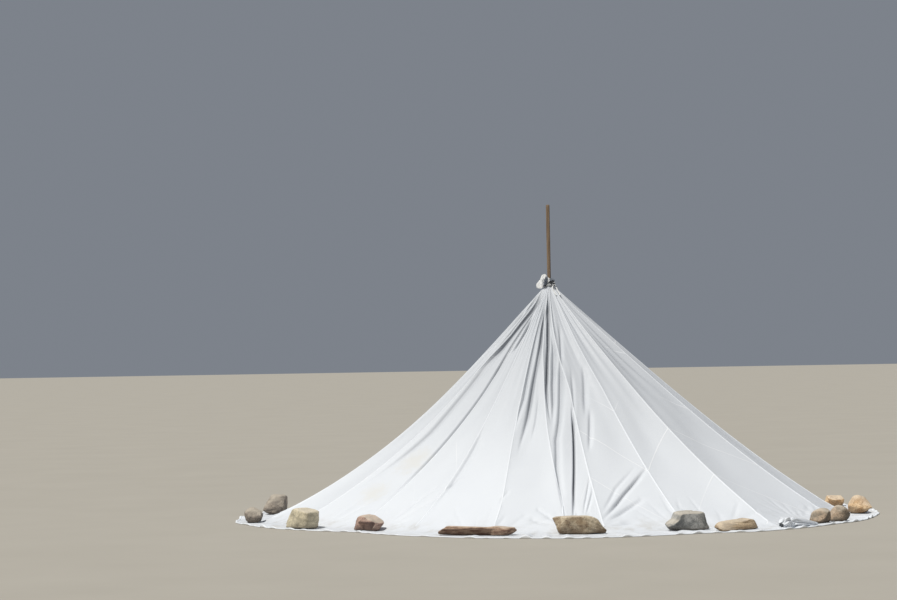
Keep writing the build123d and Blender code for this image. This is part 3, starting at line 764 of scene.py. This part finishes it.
outwards = at(1.0, KNOT_AZIMUTH, 0.0)
sideways = at(1.0, KNOT_AZIMUTH + 90, 0.0)
upwards = np.array([0.0, 0.0, 1.0])
cord_ends = []
for tail_name, steps in TAIL_ROUTES.items():
    route = np.array([knot_middle + outwards * out + sideways * side + upwards * up for out, side, up in steps])
    route[0] += unit(route[1] - route[0]) * (KNOT_RADIUS + CLOTH_CLEARANCE)
    line = smooth_line(tail_name, route)
    tail = twisted(tail_name.replace("lashing_tail", "cord_end"), line, TAIL_RADIUS, outwards, node=tail_name)
    cord_ends.append(tail)

# %% [markdown]
# The lashing is the same cord, wound round the neck in five turns, each against the next, and tied in a
# knot. The turns are one long helix. The knot is a trefoil: a line that crosses itself three times.

# %% Lashing and knot
LASHING_TURNS = 5
turns = np.linspace(0, 2 * math.pi * (LASHING_TURNS - 0.85), 420)
pitch = (NECK_LENGTH - 2 * CORD_RADIUS) / (LASHING_TURNS - 1)
helix_height = CROWN_HEIGHT + CORD_RADIUS + np.minimum(turns / (2 * math.pi) * pitch, NECK_LENGTH - 2 * CORD_RADIUS)
wander = 0.0012 * np.sin(2.3 * turns + 1)
helix = at(NECK_RADIUS + CORD_RADIUS + 0.0008 + wander, KNOT_AZIMUTH + np.degrees(turns), helix_height)
loop = np.linspace(0, 2 * math.pi, 90, endpoint=False)
trefoil = np.stack([
    np.sin(loop) + 2 * np.sin(2 * loop),
    np.cos(loop) - 2 * np.cos(2 * loop),
    -1.3 * np.sin(3 * loop),
], -1) * 0.0055
knot_line = knot_middle + trefoil[:, :1] * sideways + trefoil[:, 1:2] * upwards + trefoil[:, 2:] * outwards * 0.8
lashing_turns = twisted("wound_cord", helix, CORD_RADIUS, (0, 0, 1), node="crown_lashing", shades=(1.0, 1.0, 0.6))
lashing_knot = twisted("cord_knot", knot_line, 0.0062, outwards, closed=True, shades=(1.0, 0.2, 1.0))

# %% [markdown]
# What is left of the cloth above the lashing is the parachute's vent, pulled through into a frilled ruff.
# It is a collar whose radius swells and narrows, times waves round it that grow towards the frill's lip.
# On the left it has fallen over and hangs down past the lashing.

# %% Crown ruff
RUFF_HEIGHT = 0.052
RUFF_SHORT = 0.45  # height of its right side, as a share
RUFF_RADIUS = 0.056
RUFF_REACH = 0.066
RUFF_DROP = 0.080
RUFF_FLUTES = 9
RUFF_CLEARS = 0.0625  # the radius of the lashing, past which it hangs
POLE_RADIUS = 0.021
RUFF_ROWS = 72
RUFF_COLUMNS = 360
RUFF_SHAPE = np.array([  # level, then shares of height, radius, reach and drop
    (0.00, 0.00, 0.80, 0.00, 0.00),
    (0.10, 0.06, 1.02, 0.00, 0.00),
    (0.30, 0.12, 1.10, 0.85, 1.00),
    (0.38, 0.20, 1.20, 0.94, 0.92),
    (0.62, 0.62, 1.10, 0.56, 0.20),
    (0.80, 1.04, 0.80, 0.18, 0.00),
    (0.90, 1.10, 0.58, 0.02, 0.00),
    (1.00, 0.70, 0.42, 0.00, 0.00),
])


def eased(level, places, values):
    """A line through the values, with its corners rounded by averaging over a short stretch of levels."""
    nearby = [np.interp(level + shift, places, values) for shift in np.linspace(-0.06, 0.06, 9)]
    return np.mean(nearby, axis=0)


level, turn = np.meshgrid(
    np.linspace(0, 1, RUFF_ROWS), np.linspace(0, 2 * math.pi, RUFF_COLUMNS, endpoint=False), indexing="ij"
)
fallen = (0.5 - 0.5 * np.sin(turn)) ** 2
up, out, hang, drop = [eased(level, RUFF_SHAPE[:, 0], RUFF_SHAPE[:, i]) for i in range(1, 5)]
broad = np.cos(RUFF_FLUTES * turn + 0.9 * np.sin(2 * turn) + 1.5 * level)
sharp = 1 - 2 * np.abs(np.sin(8.5 * turn + 0.8 * np.sin(3 * turn) - 2 * level))
fine = 1 - 2 * np.abs(np.sin(20 * turn + np.sin(5 * turn) + 4 * level))
frilled = smooth_step(0.02, 0.25, level) * (1 - smooth_step(0.80, 0.98, level))
waves = (0.10 * broad + 0.15 * sharp + 0.12 * fine) * frilled * (0.4 + 0.6 * fallen)
radius = (RUFF_RADIUS * out + RUFF_REACH * hang * fallen) * (0.84 + waves)
crumple = 0.009 * np.sin(7 * turn + 5 * level) + 0.007 * np.sin(13 * turn - 9 * level + 1) + 0.010 * sharp
height = RUFF_HEIGHT * up * (RUFF_SHORT + (1 - RUFF_SHORT) * fallen) - RUFF_DROP * drop * fallen
height = height + crumple * frilled * (0.3 + 0.7 * fallen)
radius = np.maximum(radius, np.where(height < 0.001, RUFF_CLEARS, POLE_RADIUS + 0.0008))
ruff_points = at(radius, np.degrees(turn), CROWN_HEIGHT + NECK_LENGTH + 0.0005 + height)
ruff_map = np.stack([turn * 0.1, level * 0.24], -1)
crown_ruff = new_piece(
    "frilled_vent", ruff_points, grid_faces(RUFF_ROWS, RUFF_COLUMNS, closed_across=True), {"Cloth": ruff_map}, "crown_ruff"
)

# %% [markdown]
# The pole is a peeled trunk, a long tube with a slightly uneven radius.

# %% Pole
POLE_TOP = 3.370
pole_up = np.concatenate([[0, 0.002], np.linspace(0.01, POLE_TOP - 0.006, 150), [POLE_TOP - 0.003, POLE_TOP - 0.0006]])
pole_turn = np.linspace(0, 2 * math.pi, 40, endpoint=False)
rise, turn = np.meshgrid(pole_up, pole_turn, indexing="ij")
uneven = 0.0006 * np.sin(3 * turn + 2 * rise) + 0.0005 * np.sin(5 * turn - 3 * rise + 1) + 0.0004 * np.sin(9 * rise)
radius = 0.0198 + uneven - 0.0012 * (1 - smooth_step(0, 0.004, rise)) - 0.004 * smooth_step(-0.006, 0, rise - POLE_TOP)
pole_points = at(radius, np.degrees(turn), rise)
pole_faces = grid_faces(len(pole_up), 40, closed_across=True).tolist()
pole_faces.append(tuple(range(39, -1, -1)))
pole_faces.append(tuple((len(pole_up) - 1) * 40 + np.arange(40)))
pole_map = np.stack([turn * 0.02, rise], -1)
centre_pole = new_piece("peeled_pole", pole_points, pole_faces, {"Grain": pole_map}, "centre_pole")

# %% [markdown]
# A stone is a ball cut by flat planes. In each direction the surface lies at the nearest plane, and a power
# mean of all the planes instead of the nearest one rounds the edges: the higher the power, the sharper.
# Waves of several lengths roughen it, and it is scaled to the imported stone's size.

# %% Stones
STONE_ROWS = 70
STONE_COLUMNS = 120
up_angle = np.linspace(-math.pi / 2, math.pi / 2, STONE_ROWS)[1:-1]
around = np.linspace(0, 2 * math.pi, STONE_COLUMNS, endpoint=False)
SHAPES = {
    "boulder": (9, 26, 0.045, -0.5, 1.1, 0.97),
    "block": (16, 14, 0.035, -0.3, 0.3, 0.84),
    "slab": (14, 16, 0.030, -0.2, 0.4, 0.82),
}


def roughness_waves(points, seed, octaves=5):
    """Sum of sine waves in random directions, each octave twice as fine and a bit over half as high."""
    chance = np.random.default_rng(seed)
    total = np.zeros(points.shape[:-1])
    for octave in range(octaves):
        for _ in range(4):
            way = chance.normal(size=3)
            way /= np.linalg.norm(way)
            total += 0.55**octave * np.sin(2.0**octave * 2.6 * (points @ way) + chance.uniform(0, 6.3))
    return total / 4


BLUNT = 0.75  # how square the ends of a long stone are, seen from above


def stone_points(stone, seed):
    """A unit ball cut by planes and roughened, then scaled, turned and set on the cloth."""
    power, cuts, rough, lowest, highest, top_far = SHAPES[stone.shape]
    chance = np.random.default_rng(seed)
    up, turn = np.meshgrid(up_angle, around, indexing="ij")
    ball = np.stack([np.cos(up) * np.cos(turn), np.cos(up) * np.sin(turn), np.sin(up)], -1)
    poles = np.array([[0, 0, -1.0], [0, 0, 1.0]])
    ball = np.concatenate([ball.reshape(-1, 3), poles])
    cut_turn = np.linspace(0, 2 * math.pi, cuts, endpoint=False) + chance.uniform(-0.25, 0.25, cuts)
    cut_up = chance.uniform(lowest, highest, cuts)
    normals = np.stack([np.cos(cut_up) * np.cos(cut_turn), np.cos(cut_up) * np.sin(cut_turn), np.sin(cut_up)], -1)
    far = chance.uniform(0.82, 1.08, cuts)
    top = np.array([[chance.uniform(-0.12, 0.12), chance.uniform(-0.12, 0.12), 1.0], [0, 0, -1.0]])
    normals = np.concatenate([normals, top / np.linalg.norm(top, axis=1, keepdims=True)])
    far = np.concatenate([far, [top_far, 0.80]])
    facing = np.clip(ball @ normals.T, 0, None) / far
    reach = (facing**power).sum(1) ** (-1 / power)
    points = ball * reach[:, None]
    points *= 1 + rough * roughness_waves(points * 2.0, seed)[:, None]
    low, high = points.min(0), points.max(0)
    points = (points - (low + high) / 2) / (high - low)
    points[:, 2] += 0.5
    points[:, 1] /= np.sqrt(1 - BLUNT * (points[:, 0] * 2) ** 2)
    points[:, 1] *= 0.5 / np.abs(points[:, 1]).max()
    places, shares = np.array(stone.skyline).T
    nearby = [np.interp(points[:, 0] * 2 + shift, places, shares) for shift in (-0.06, -0.03, 0.0, 0.03, 0.06)]
    points[:, 2] *= np.mean(nearby, axis=0)
    start, end, level = stone.hollow
    along, rise = points[:, 0] * 2, points[:, 2] / points[:, 2].max()
    under = smooth_step(start, start + 0.15, along) * (1 - smooth_step(end - 0.15, end, along))
    under = under * (1 - smooth_step(level - 0.10, level + 0.10, rise)) * (points[:, 1] < 0)
    points[:, 1] *= 1 - 0.7 * under
    points *= np.array([stone.length, stone.depth, stone.height / points[:, 2].max()])
    angle = math.radians(stone.azimuth + stone.turn)
    turned = np.stack([
        points[:, 0] * math.cos(angle) - points[:, 1] * math.sin(angle),
        points[:, 0] * math.sin(angle) + points[:, 1] * math.cos(angle),
        points[:, 2],
    ], -1)
    return turned + at(stone.distance, stone.azimuth, SEAT)


def stone_faces():
    """A closed ball: the grid's cells, and a fan of triangles at each pole."""
    rows = len(up_angle)
    cells = grid_faces(rows, STONE_COLUMNS, closed_across=True).tolist()
    low, high = rows * STONE_COLUMNS, rows * STONE_COLUMNS + 1
    last = (rows - 1) * STONE_COLUMNS
    beside = np.roll(np.arange(STONE_COLUMNS), -1)
    cells += np.stack([np.full(STONE_COLUMNS, low), beside, np.arange(STONE_COLUMNS)], -1).tolist()
    cells += np.stack([last + np.arange(STONE_COLUMNS), last + beside, np.full(STONE_COLUMNS, high)], -1).tolist()
    return cells


stones = {}
for node in dict.fromkeys(stone.node for stone in STONES):
    group = [(seed, stone) for seed, stone in enumerate(STONES) if stone.node == node]
    points = [stone_points(stone, 40 + seed) for seed, stone in group]
    faces = []
    for i in range(len(group)):
        offset = i * len(points[0])
        faces += [[corner + offset for corner in face] for face in stone_faces()]
    stones[node] = new_piece(node.replace("stone", "rock"), np.concatenate(points), faces, node=node)

# %% [markdown]
# Spare hem lies in a twisted roll to the right of the tan slab. It is a tube whose radius swells and
# narrows, with pleats that wind round it.

# %% Rolled hem
ROLL_START, ROLL_END, ROLL_INSET = 41.0, 51.0, 0.125
share = np.linspace(0, 1, 160)
thick = np.interp(share, [0, 0.09, 0.18, 0.30, 0.62, 1.0], [0.030, 0.056, 0.038, 0.047, 0.030, 0.010])
azimuth = ROLL_START + (ROLL_END - ROLL_START) * share
roll_line = at(hem_radius(azimuth) - ROLL_INSET, azimuth, SEAT + thick * 0.95)
roll = tube(roll_line, 1.0, 72, (0, 0, 1)) - roll_line[:, None]
turn = np.linspace(0, 2 * math.pi, 72, endpoint=False)[None, :]
along = share[:, None]
twist = 9 * smooth_step(0.0, 0.3, along) + 2 * along
pleats = 0.20 * np.sin(6 * turn + twist) + 0.12 * np.sin(11 * turn - twist + 1) + 0.05 * np.sin(19 * turn + 2 * twist)
roll_points = roll_line[:, None] + roll * (thick[:, None] * (1 + pleats))[..., None]
roll_points[..., 2] = np.clip(roll_points[..., 2], 0.004, 0.110)
roll_faces = grid_faces(160, 72, closed_across=True)
roll_map = np.stack(np.broadcast_arrays(turn * 0.05, along * 0.6), -1)
hem_roll = new_piece("twisted_hem", roll_points, roll_faces, {"Cloth": roll_map}, "hem_roll")

# %% [markdown]
# The finishes are node materials. Adding nodes one by one makes long code, so two small classes help.
# `Value` wraps a socket and turns Python's operators into Math nodes. `Finish` owns one material and makes
# any other node from its type, its settings and the values of its sockets.

# %% Shader helpers
class Value:
    """A node's output. Plain arithmetic on it adds Math nodes."""

    def __init__(self, finish, socket):
        self.finish = finish
        self.socket = socket

    def maths(self, operation, first, second):
        return self.finish.node("ShaderNodeMath", {0: first, 1: second}, operation=operation)

    def __add__(self, other):
        return self.maths("ADD", self, other)

    def __sub__(self, other):
        return self.maths("SUBTRACT", self, other)

    def __rsub__(self, other):
        return self.maths("SUBTRACT", other, self)

    def __mul__(self, other):
        return self.maths("MULTIPLY", self, other)

    def __gt__(self, other):
        return self.maths("GREATER_THAN", self, other)

    def __lt__(self, other):
        return self.maths("LESS_THAN", self, other)

    __radd__ = __add__
    __rmul__ = __mul__


class Finish:
    """A material and its nodes. What is the same all over the surface is set on the shader itself."""

    def __init__(self, name, **constants):
        self.material = bpy.data.materials.new(name)
        self.material.use_nodes = True
        self.tree = self.material.node_tree
        self.shader = self.tree.nodes["Principled BSDF"]
        for label, value in constants.items():
            self.shader.inputs[label.replace("_", " ")].default_value = value

    def node(self, kind, inputs=None, stops=None, output=0, **settings):
        """One node: its settings first, then a ramp's stops, then the values or links of its sockets."""
        made = self.tree.nodes.new(kind)
        for label, value in settings.items():
            setattr(made, label, value)
        if stops:
            ramp = made.color_ramp
            ramp.elements.remove(ramp.elements[1])
            ramp.elements[0].position, ramp.elements[0].color = stops[0][0], (*stops[0][1], 1)
            for place, colour in stops[1:]:
                ramp.elements.new(place).color = (*colour, 1)
        for label, value in (inputs or {}).items():
            if isinstance(value, Value):
                self.tree.links.new(value.socket, made.inputs[label])
            else:
                made.inputs[label].default_value = value
        return Value(self, made.outputs[output])

    def feed(self, **values):
        """Links values to the shader's sockets."""
        for label, value in values.items():
            self.tree.links.new(value.socket, self.shader.inputs[label.replace("_", " ")])

    def place(self):
        return self.node("ShaderNodeTexCoord", output=3)

    def map(self, name):
        return self.node("ShaderNodeUVMap", uv_map=name)

    def parts(self, vector):
        split = self.node("ShaderNodeSeparateXYZ", {0: vector})
        outputs = split.socket.node.outputs
        return [Value(self, socket) for socket in outputs]

    def noise(self, vector, scale, detail=4.0, rough=0.55):
        return self.node("ShaderNodeTexNoise", {"Vector": vector, "Scale": scale, "Detail": detail, "Roughness": rough})

    def between(self, value, low, high):
        """A smooth rise from 0 at low to 1 at high."""
        return self.node(
            "ShaderNodeMapRange", {0: value, 1: low, 2: high, 3: 0.0, 4: 1.0}, interpolation_type="SMOOTHSTEP"
        )

    def mix(self, share, first, second):
        """A colour between two colours."""
        return self.node("ShaderNodeMix", {0: share, 6: first, 7: second}, output=2, data_type="RGBA")

    def bump(self, height, distance, strength=1.0, normal=None):
        sockets = {"Height": height, "Distance": distance, "Strength": strength}
        if normal:
            sockets["Normal"] = normal
        return self.node("ShaderNodeBump", sockets)

    def give(self, *pieces):
        for piece in pieces:
            piece.data.materials.clear()
            piece.data.materials.append(self.material)


def colour(red, green, blue):
    """A colour given in the 0 to 255 steps of a screen, as the linear values that shaders use."""
    steps = np.array([red, green, blue]) / 255
    linear = np.where(steps <= 0.04045, steps / 12.92, ((steps + 0.055) / 1.055) ** 2.4)
    return (*linear.tolist(), 1.0)


# %% [markdown]
# Parachute nylon is thin, white and a little shiny. Close up it has a fine grid of thicker threads, turned
# by 45 degrees because the panels are cut on the bias. From afar the bias seams, a few stains and the dirt
# near the ground show. Shade is painted into the canopy's colour too: it is darker towards the crown, darker
# still deep in the pleats, and a painted shadow line runs along each pleat's bottom.

# %% Nylon
STAINS = (((-1.46, -1.05, 0.68), 0.20), ((-1.87, -1.27, 0.36), 0.17))  # middle, size


def weave(nylon, vector, size):
    """A grid of ridges: two sets of waves at right angles, each raised to a narrow line."""
    lines = []
    for way in ("X", "Y"):
        lines.append(
            nylon.node(
                "ShaderNodeTexWave",
                {"Vector": vector, "Scale": 1 / size / 3.14, "Distortion": 0.0},
                bands_direction=way,
                output=1,
            )
        )
    return lines[0] * lines[0] * lines[0] * lines[0] + lines[1] * lines[1] * lines[1] * lines[1]


def nylon_finish(name, sewn):
    """The tent's cloth. Only the canopy has the bias seams and the stains."""
    nylon = Finish(name, Sheen_Weight=0.08, Sheen_Roughness=0.4, Specular_IOR_Level=0.3)
    place = nylon.place()
    x, y, z = nylon.parts(place)
    cloth_place = nylon.map("Cloth")
    turned = nylon.node("ShaderNodeMapping", {0: cloth_place, 2: (0, 0, math.radians(45))})
    threads = weave(nylon, turned, 0.006)
    broad = nylon.noise(place, 1.6)
    fine = nylon.noise(place, 14.0)
    base = nylon.mix(broad, colour(226, 229, 233), colour(234, 237, 240))
    height = threads * 0.3 + fine * 0.5
    if sewn:
        sewing = nylon.map("Sewing")
        nearest, panel, _ = nylon.parts(sewing)
        part = nylon.node("ShaderNodeMath", {0: panel}, operation="FRACT")
        away = nylon.node("ShaderNodeMath", {0: part - 0.5}, operation="ABSOLUTE")
        line = nylon.between(away, 0.489, 0.494)
        line = line * (panel > -0.5) * (panel < 4.6) * nylon.between(nylon.noise(place, 0.55, 1.0), 0.46, 0.60)
        # Painted shade: the cloth is painted darker towards the crown, where the gathers shade each other.
        base = nylon.mix(nylon.between(z, 0.2, 1.9) * 0.9, base, colour(200, 203, 207))
        # Painted shade: darker deep in the pleats, and a painted shadow line along their bottoms.
        depth, slit_shadow, _ = nylon.parts(nylon.map("FoldShade"))
        base = nylon.mix(nylon.between(depth, 0.004, 0.045) * 0.4, base, colour(132, 136, 142))
        base = nylon.mix(slit_shadow * 0.8, base, colour(92, 96, 104))
        base = nylon.mix(line * 0.5, base, colour(255, 255, 255))
        height = height + line * 1.2
        pucker = nylon.noise(nylon.node("ShaderNodeMapping", {0: cloth_place, 3: (6, 22, 1)}), 1.0, 2.0)
        near_seam = 1 - nylon.between(nearest, 0.004, 0.05)
        height = (height + pucker * near_seam * 2.0) * (1 - nylon.between(z, 0.9, 1.8) * 0.95)
        dirt = (1 - nylon.between(z, 0.0, 0.16)) * nylon.between(nylon.noise(place, 7.0), 0.45, 0.75)
        base = nylon.mix(dirt * 0.35, base, colour(176, 166, 146))
        for middle, size in STAINS:
            away = nylon.node("ShaderNodeVectorMath", {0: place, 1: middle}, output=1, operation="DISTANCE")
            stain = 1 - nylon.between(away + nylon.noise(place, 12.0, 4.0) * 1.6 * size, size, 2.2 * size)
            base = nylon.mix(stain * 0.22, base, colour(218, 206, 176))
    nylon.feed(Base_Color=base, Normal=nylon.bump(height, 0.0012, 0.7))
    rough = nylon.between(fine, 0.2, 0.8) * 0.12 + 0.48
    nylon.feed(Roughness=rough)
    return nylon


canopy_nylon = nylon_finish("canopy nylon", True)
canopy_nylon.give(*canopies)
rolled_nylon = nylon_finish("rolled nylon", False)
rolled_nylon.give(hem_roll)

# %% [markdown]
# The ruff's shade is painted into its colour: slate grey all over the frill's right side, away from the
# sun, and on its left inside an oval round the neck, where the turned-over cloth shades it.

# %% Ruff
ruff_nylon = Finish("ruff nylon", Sheen_Weight=0.2, Sheen_Roughness=0.4, Specular_IOR_Level=0.3)
x, y, z = ruff_nylon.parts(ruff_nylon.place())
worn = ruff_nylon.noise(ruff_nylon.place(), 45.0, 3.0)
# Painted shade: slate grey on the frill's right side, away from the sun, and inside an oval round the neck on its left.
shaded_right_side = ruff_nylon.between(x + worn * 0.03, 0.012, 0.028)
across = x * (1 / 0.066)
rise = (z - 2.500) * (1 / 0.098)
from_middle = across * across + rise * rise
shaded_in_fold = (1 - ruff_nylon.between(from_middle + worn * 0.7, 1.10, 1.45)) * (x < -0.012)
white = ruff_nylon.mix(worn, colour(236, 236, 234), colour(255, 255, 255))
painted_shade_slate = ruff_nylon.mix(worn, colour(84, 92, 104), colour(136, 142, 150))
ruff_nylon.feed(
    Base_Color=ruff_nylon.mix(ruff_nylon.node("ShaderNodeMath", {0: shaded_right_side, 1: shaded_in_fold}, operation="MAXIMUM"), white, painted_shade_slate),
    Roughness=worn * 0.15 + 0.5,
    Normal=ruff_nylon.bump(weave(ruff_nylon, ruff_nylon.map("Cloth"), 0.006), 0.0008, 0.6),
)
ruff_nylon.give(crown_ruff)

# %% Tape, cord, wood and stone
tape = Finish("seam tape", Sheen_Weight=0.1)
_, _, rise = tape.parts(tape.place())
stitch = tape.node("ShaderNodeTexWave", {"Vector": tape.map("Cloth"), "Scale": 60.0}, bands_direction="Y", output=1)
# Painted shade: the tape is painted darker towards the crown, like the cloth.
tape.feed(
    Base_Color=tape.mix(tape.between(rise, 0.2, 1.9), colour(240, 243, 246), colour(218, 221, 225)),
    Roughness=tape.noise(tape.place(), 40.0) * 0.2 + 0.5,
    Normal=tape.bump(stitch, 0.0006, 0.6),
)
tape.give(seam_tapes, hem_band)

cord = Finish("twisted cord")
along, shade, _ = cord.parts(cord.map("Cord"))
fibre = cord.noise(cord.node("ShaderNodeMapping", {0: cord.map("Cord"), 3: (400, 3, 1)}), 1.0, 3.0)
dark = cord.mix(cord.noise(cord.place(), 60.0), colour(38, 42, 50), colour(72, 78, 90))
pale = cord.mix(cord.noise(cord.place(), 60.0), colour(232, 232, 230), colour(252, 252, 250))
x, y, z = cord.parts(cord.place())
off_middle = cord.node("ShaderNodeMath", {0: x}, operation="ABSOLUTE")
bleached = cord.between(CROWN_HEIGHT + 0.036 - off_middle * 0.8 - z, -0.003, 0.003) * (y < 0.0)
cord.feed(
    Base_Color=cord.mix(cord.between(shade, 0.3, 0.7) * (1 - bleached), pale, dark),
    Roughness=fibre * 0.3 + 0.6,
    Normal=cord.bump(fibre, 0.0008, 0.8),
)
cord.give(lashing_turns, lashing_knot, *cord_ends)

wood = Finish("weathered wood", Specular_IOR_Level=0.25)
grain_place = wood.node("ShaderNodeMapping", {0: wood.map("Grain"), 3: (90, 3.0, 1)})
grain = wood.noise(grain_place, 1.0, 6.0, 0.65)
streak = wood.noise(wood.node("ShaderNodeMapping", {0: wood.map("Grain"), 3: (30, 0.9, 1)}), 1.0, 3.0)
aged = wood.node(
    "ShaderNodeValToRGB",
    {0: grain * 0.6 + streak * 0.4},
    stops=[(0.30, colour(70, 56, 44)[:3]), (0.48, colour(120, 100, 80)[:3]), (0.66, colour(172, 150, 124)[:3])],
)
wood.feed(Base_Color=aged, Roughness=grain * 0.25 + 0.62, Normal=wood.bump(grain, 0.002, 0.9))
wood.give(centre_pole)


def rock(name, first, second, spots_and_shade, grain_size=9.0, layers=0.0):
    """A stone's finish: two colours in cloudy patches, darker spots, a pale top that is partly painted sunlight and
    partly dust, an underside and a foot painted dark as shade, and a pitted surface.
    """
    stone = Finish(name, Specular_IOR_Level=0.3)
    place = stone.place()
    x, y, z = stone.parts(place)
    if layers:
        place = stone.node("ShaderNodeMapping", {0: place, 3: (1, 1, layers)})
    cloudy = stone.noise(place, grain_size, 8.0, 0.62)
    speck = stone.noise(place, grain_size * 9, 4.0, 0.7)
    base = stone.mix(stone.between(cloudy, 0.38, 0.62), first, second)
    base = stone.mix(stone.between(speck, 0.52, 0.66) * 0.7, base, spots_and_shade)
    upwards = stone.parts(stone.node("ShaderNodeTexCoord", output=1))[2]
    # Faces turned up are painted pale, partly as painted sunlight and partly as dust. Faces turned down take the dark
    # spot colour as painted shade.
    base = stone.mix(stone.between(upwards, 0.35, 0.85) * 0.5, base, colour(228, 216, 196))
    base = stone.mix((1 - stone.between(upwards, -0.5, 0.1)) * 0.5, base, spots_and_shade)
    # Painted shade: darker towards the foot, where the stone meets the ground.
    base = stone.mix((1 - stone.between(z, 0.0, 0.07)) * 0.45, base, colour(88, 78, 66))
    crack = stone.node("ShaderNodeTexVoronoi", {"Vector": place, "Scale": grain_size * 1.7}, feature="DISTANCE_TO_EDGE")
    cracks = 1 - stone.between(crack, 0.0, 0.05)
    height = cloudy * 1.0 + speck * 0.35 - cracks * 0.25
    stone.feed(Base_Color=base, Roughness=cloudy * 0.2 + 0.75, Normal=stone.bump(height, 0.012, 0.9))
    return stone


ROCKS = {
    "stones_left_pair": (colour(158, 146, 132), colour(116, 108, 100), colour(66, 62, 60)),
    "stone_pale_block": (colour(226, 214, 184), colour(188, 178, 154), colour(120, 112, 98)),
    "stone_brown_block": (colour(196, 164, 146), colour(140, 118, 108), colour(80, 64, 62)),
    "stone_long_slab": (colour(208, 178, 152), colour(150, 116, 96), colour(78, 56, 48)),
    "stone_middle_boulder": (colour(208, 192, 164), colour(150, 130, 104), colour(92, 72, 58)),
    "stone_grey_block": (colour(178, 176, 170), colour(128, 128, 124), colour(76, 76, 76)),
    "stone_tan_slab": (colour(214, 188, 152), colour(156, 132, 104), colour(92, 78, 64)),
    "stones_right_pair": (colour(190, 166, 140), colour(134, 122, 106), colour(78, 70, 62)),
    "stones_right_end": (colour(236, 206, 166), colour(190, 152, 110), colour(118, 92, 68)),
    "stones_back": (colour(186, 174, 152), colour(140, 130, 114), colour(84, 78, 70)),
}
for node, colours in ROCKS.items():
    layers = 3.0 if "slab" in node else 0.0
    rock(node.replace("_", " "), *colours, layers=layers).give(stones[node])

# %% [markdown]
# The canopy is a sheet of cloth cut flat and then draped. Each of its pieces is a sector of the round
# parachute, of 60 degrees in front and 120 degrees behind.

# %% [markdown]
# A pale floor, a large soft sun from the upper left and a light sky finish the scene.

# %% Floor and light
FLOOR_SIZE = 400.0
floor_mesh = bpy.data.meshes.new("floor")
corner = FLOOR_SIZE / 2
floor_mesh.from_pydata(
    [(-corner, -corner, 0), (corner, -corner, 0), (corner, corner, 0), (-corner, corner, 0)], [], [(0, 1, 2, 3)]
)
floor = bpy.data.objects.new("floor", floor_mesh)
bpy.context.scene.collection.objects.link(floor)
ground = Finish("floor", Roughness=0.9, Specular_IOR_Level=0.2)
ground.feed(Base_Color=ground.mix(ground.noise(ground.place(), 0.8), colour(176, 170, 158), colour(185, 179, 167)))
ground.give(floor)

sun = bpy.data.lights.new("sun", "SUN")
sun.energy = 3.0
sun.angle = math.radians(5)
sun.color = (1.0, 0.98, 0.94)
sun_object = bpy.data.objects.new("sun", sun)
SUN_HEIGHT = 59.0
SUN_AZIMUTH = -44.0
sun_object.matrix_world = Matrix.Rotation(math.radians(SUN_AZIMUTH), 4, "Z") @ Matrix.Rotation(
    math.radians(90 - SUN_HEIGHT), 4, "X"
)
bpy.context.scene.collection.objects.link(sun_object)

world = bpy.data.worlds.new("sky")
world.use_nodes = True
sky = world.node_tree.nodes["Background"]
sky.inputs["Color"].default_value = (0.62, 0.68, 0.78, 1.0)
sky.inputs["Strength"].default_value = 0.33
bpy.context.scene.world = world
bpy.context.scene.view_settings.view_transform = "Standard"
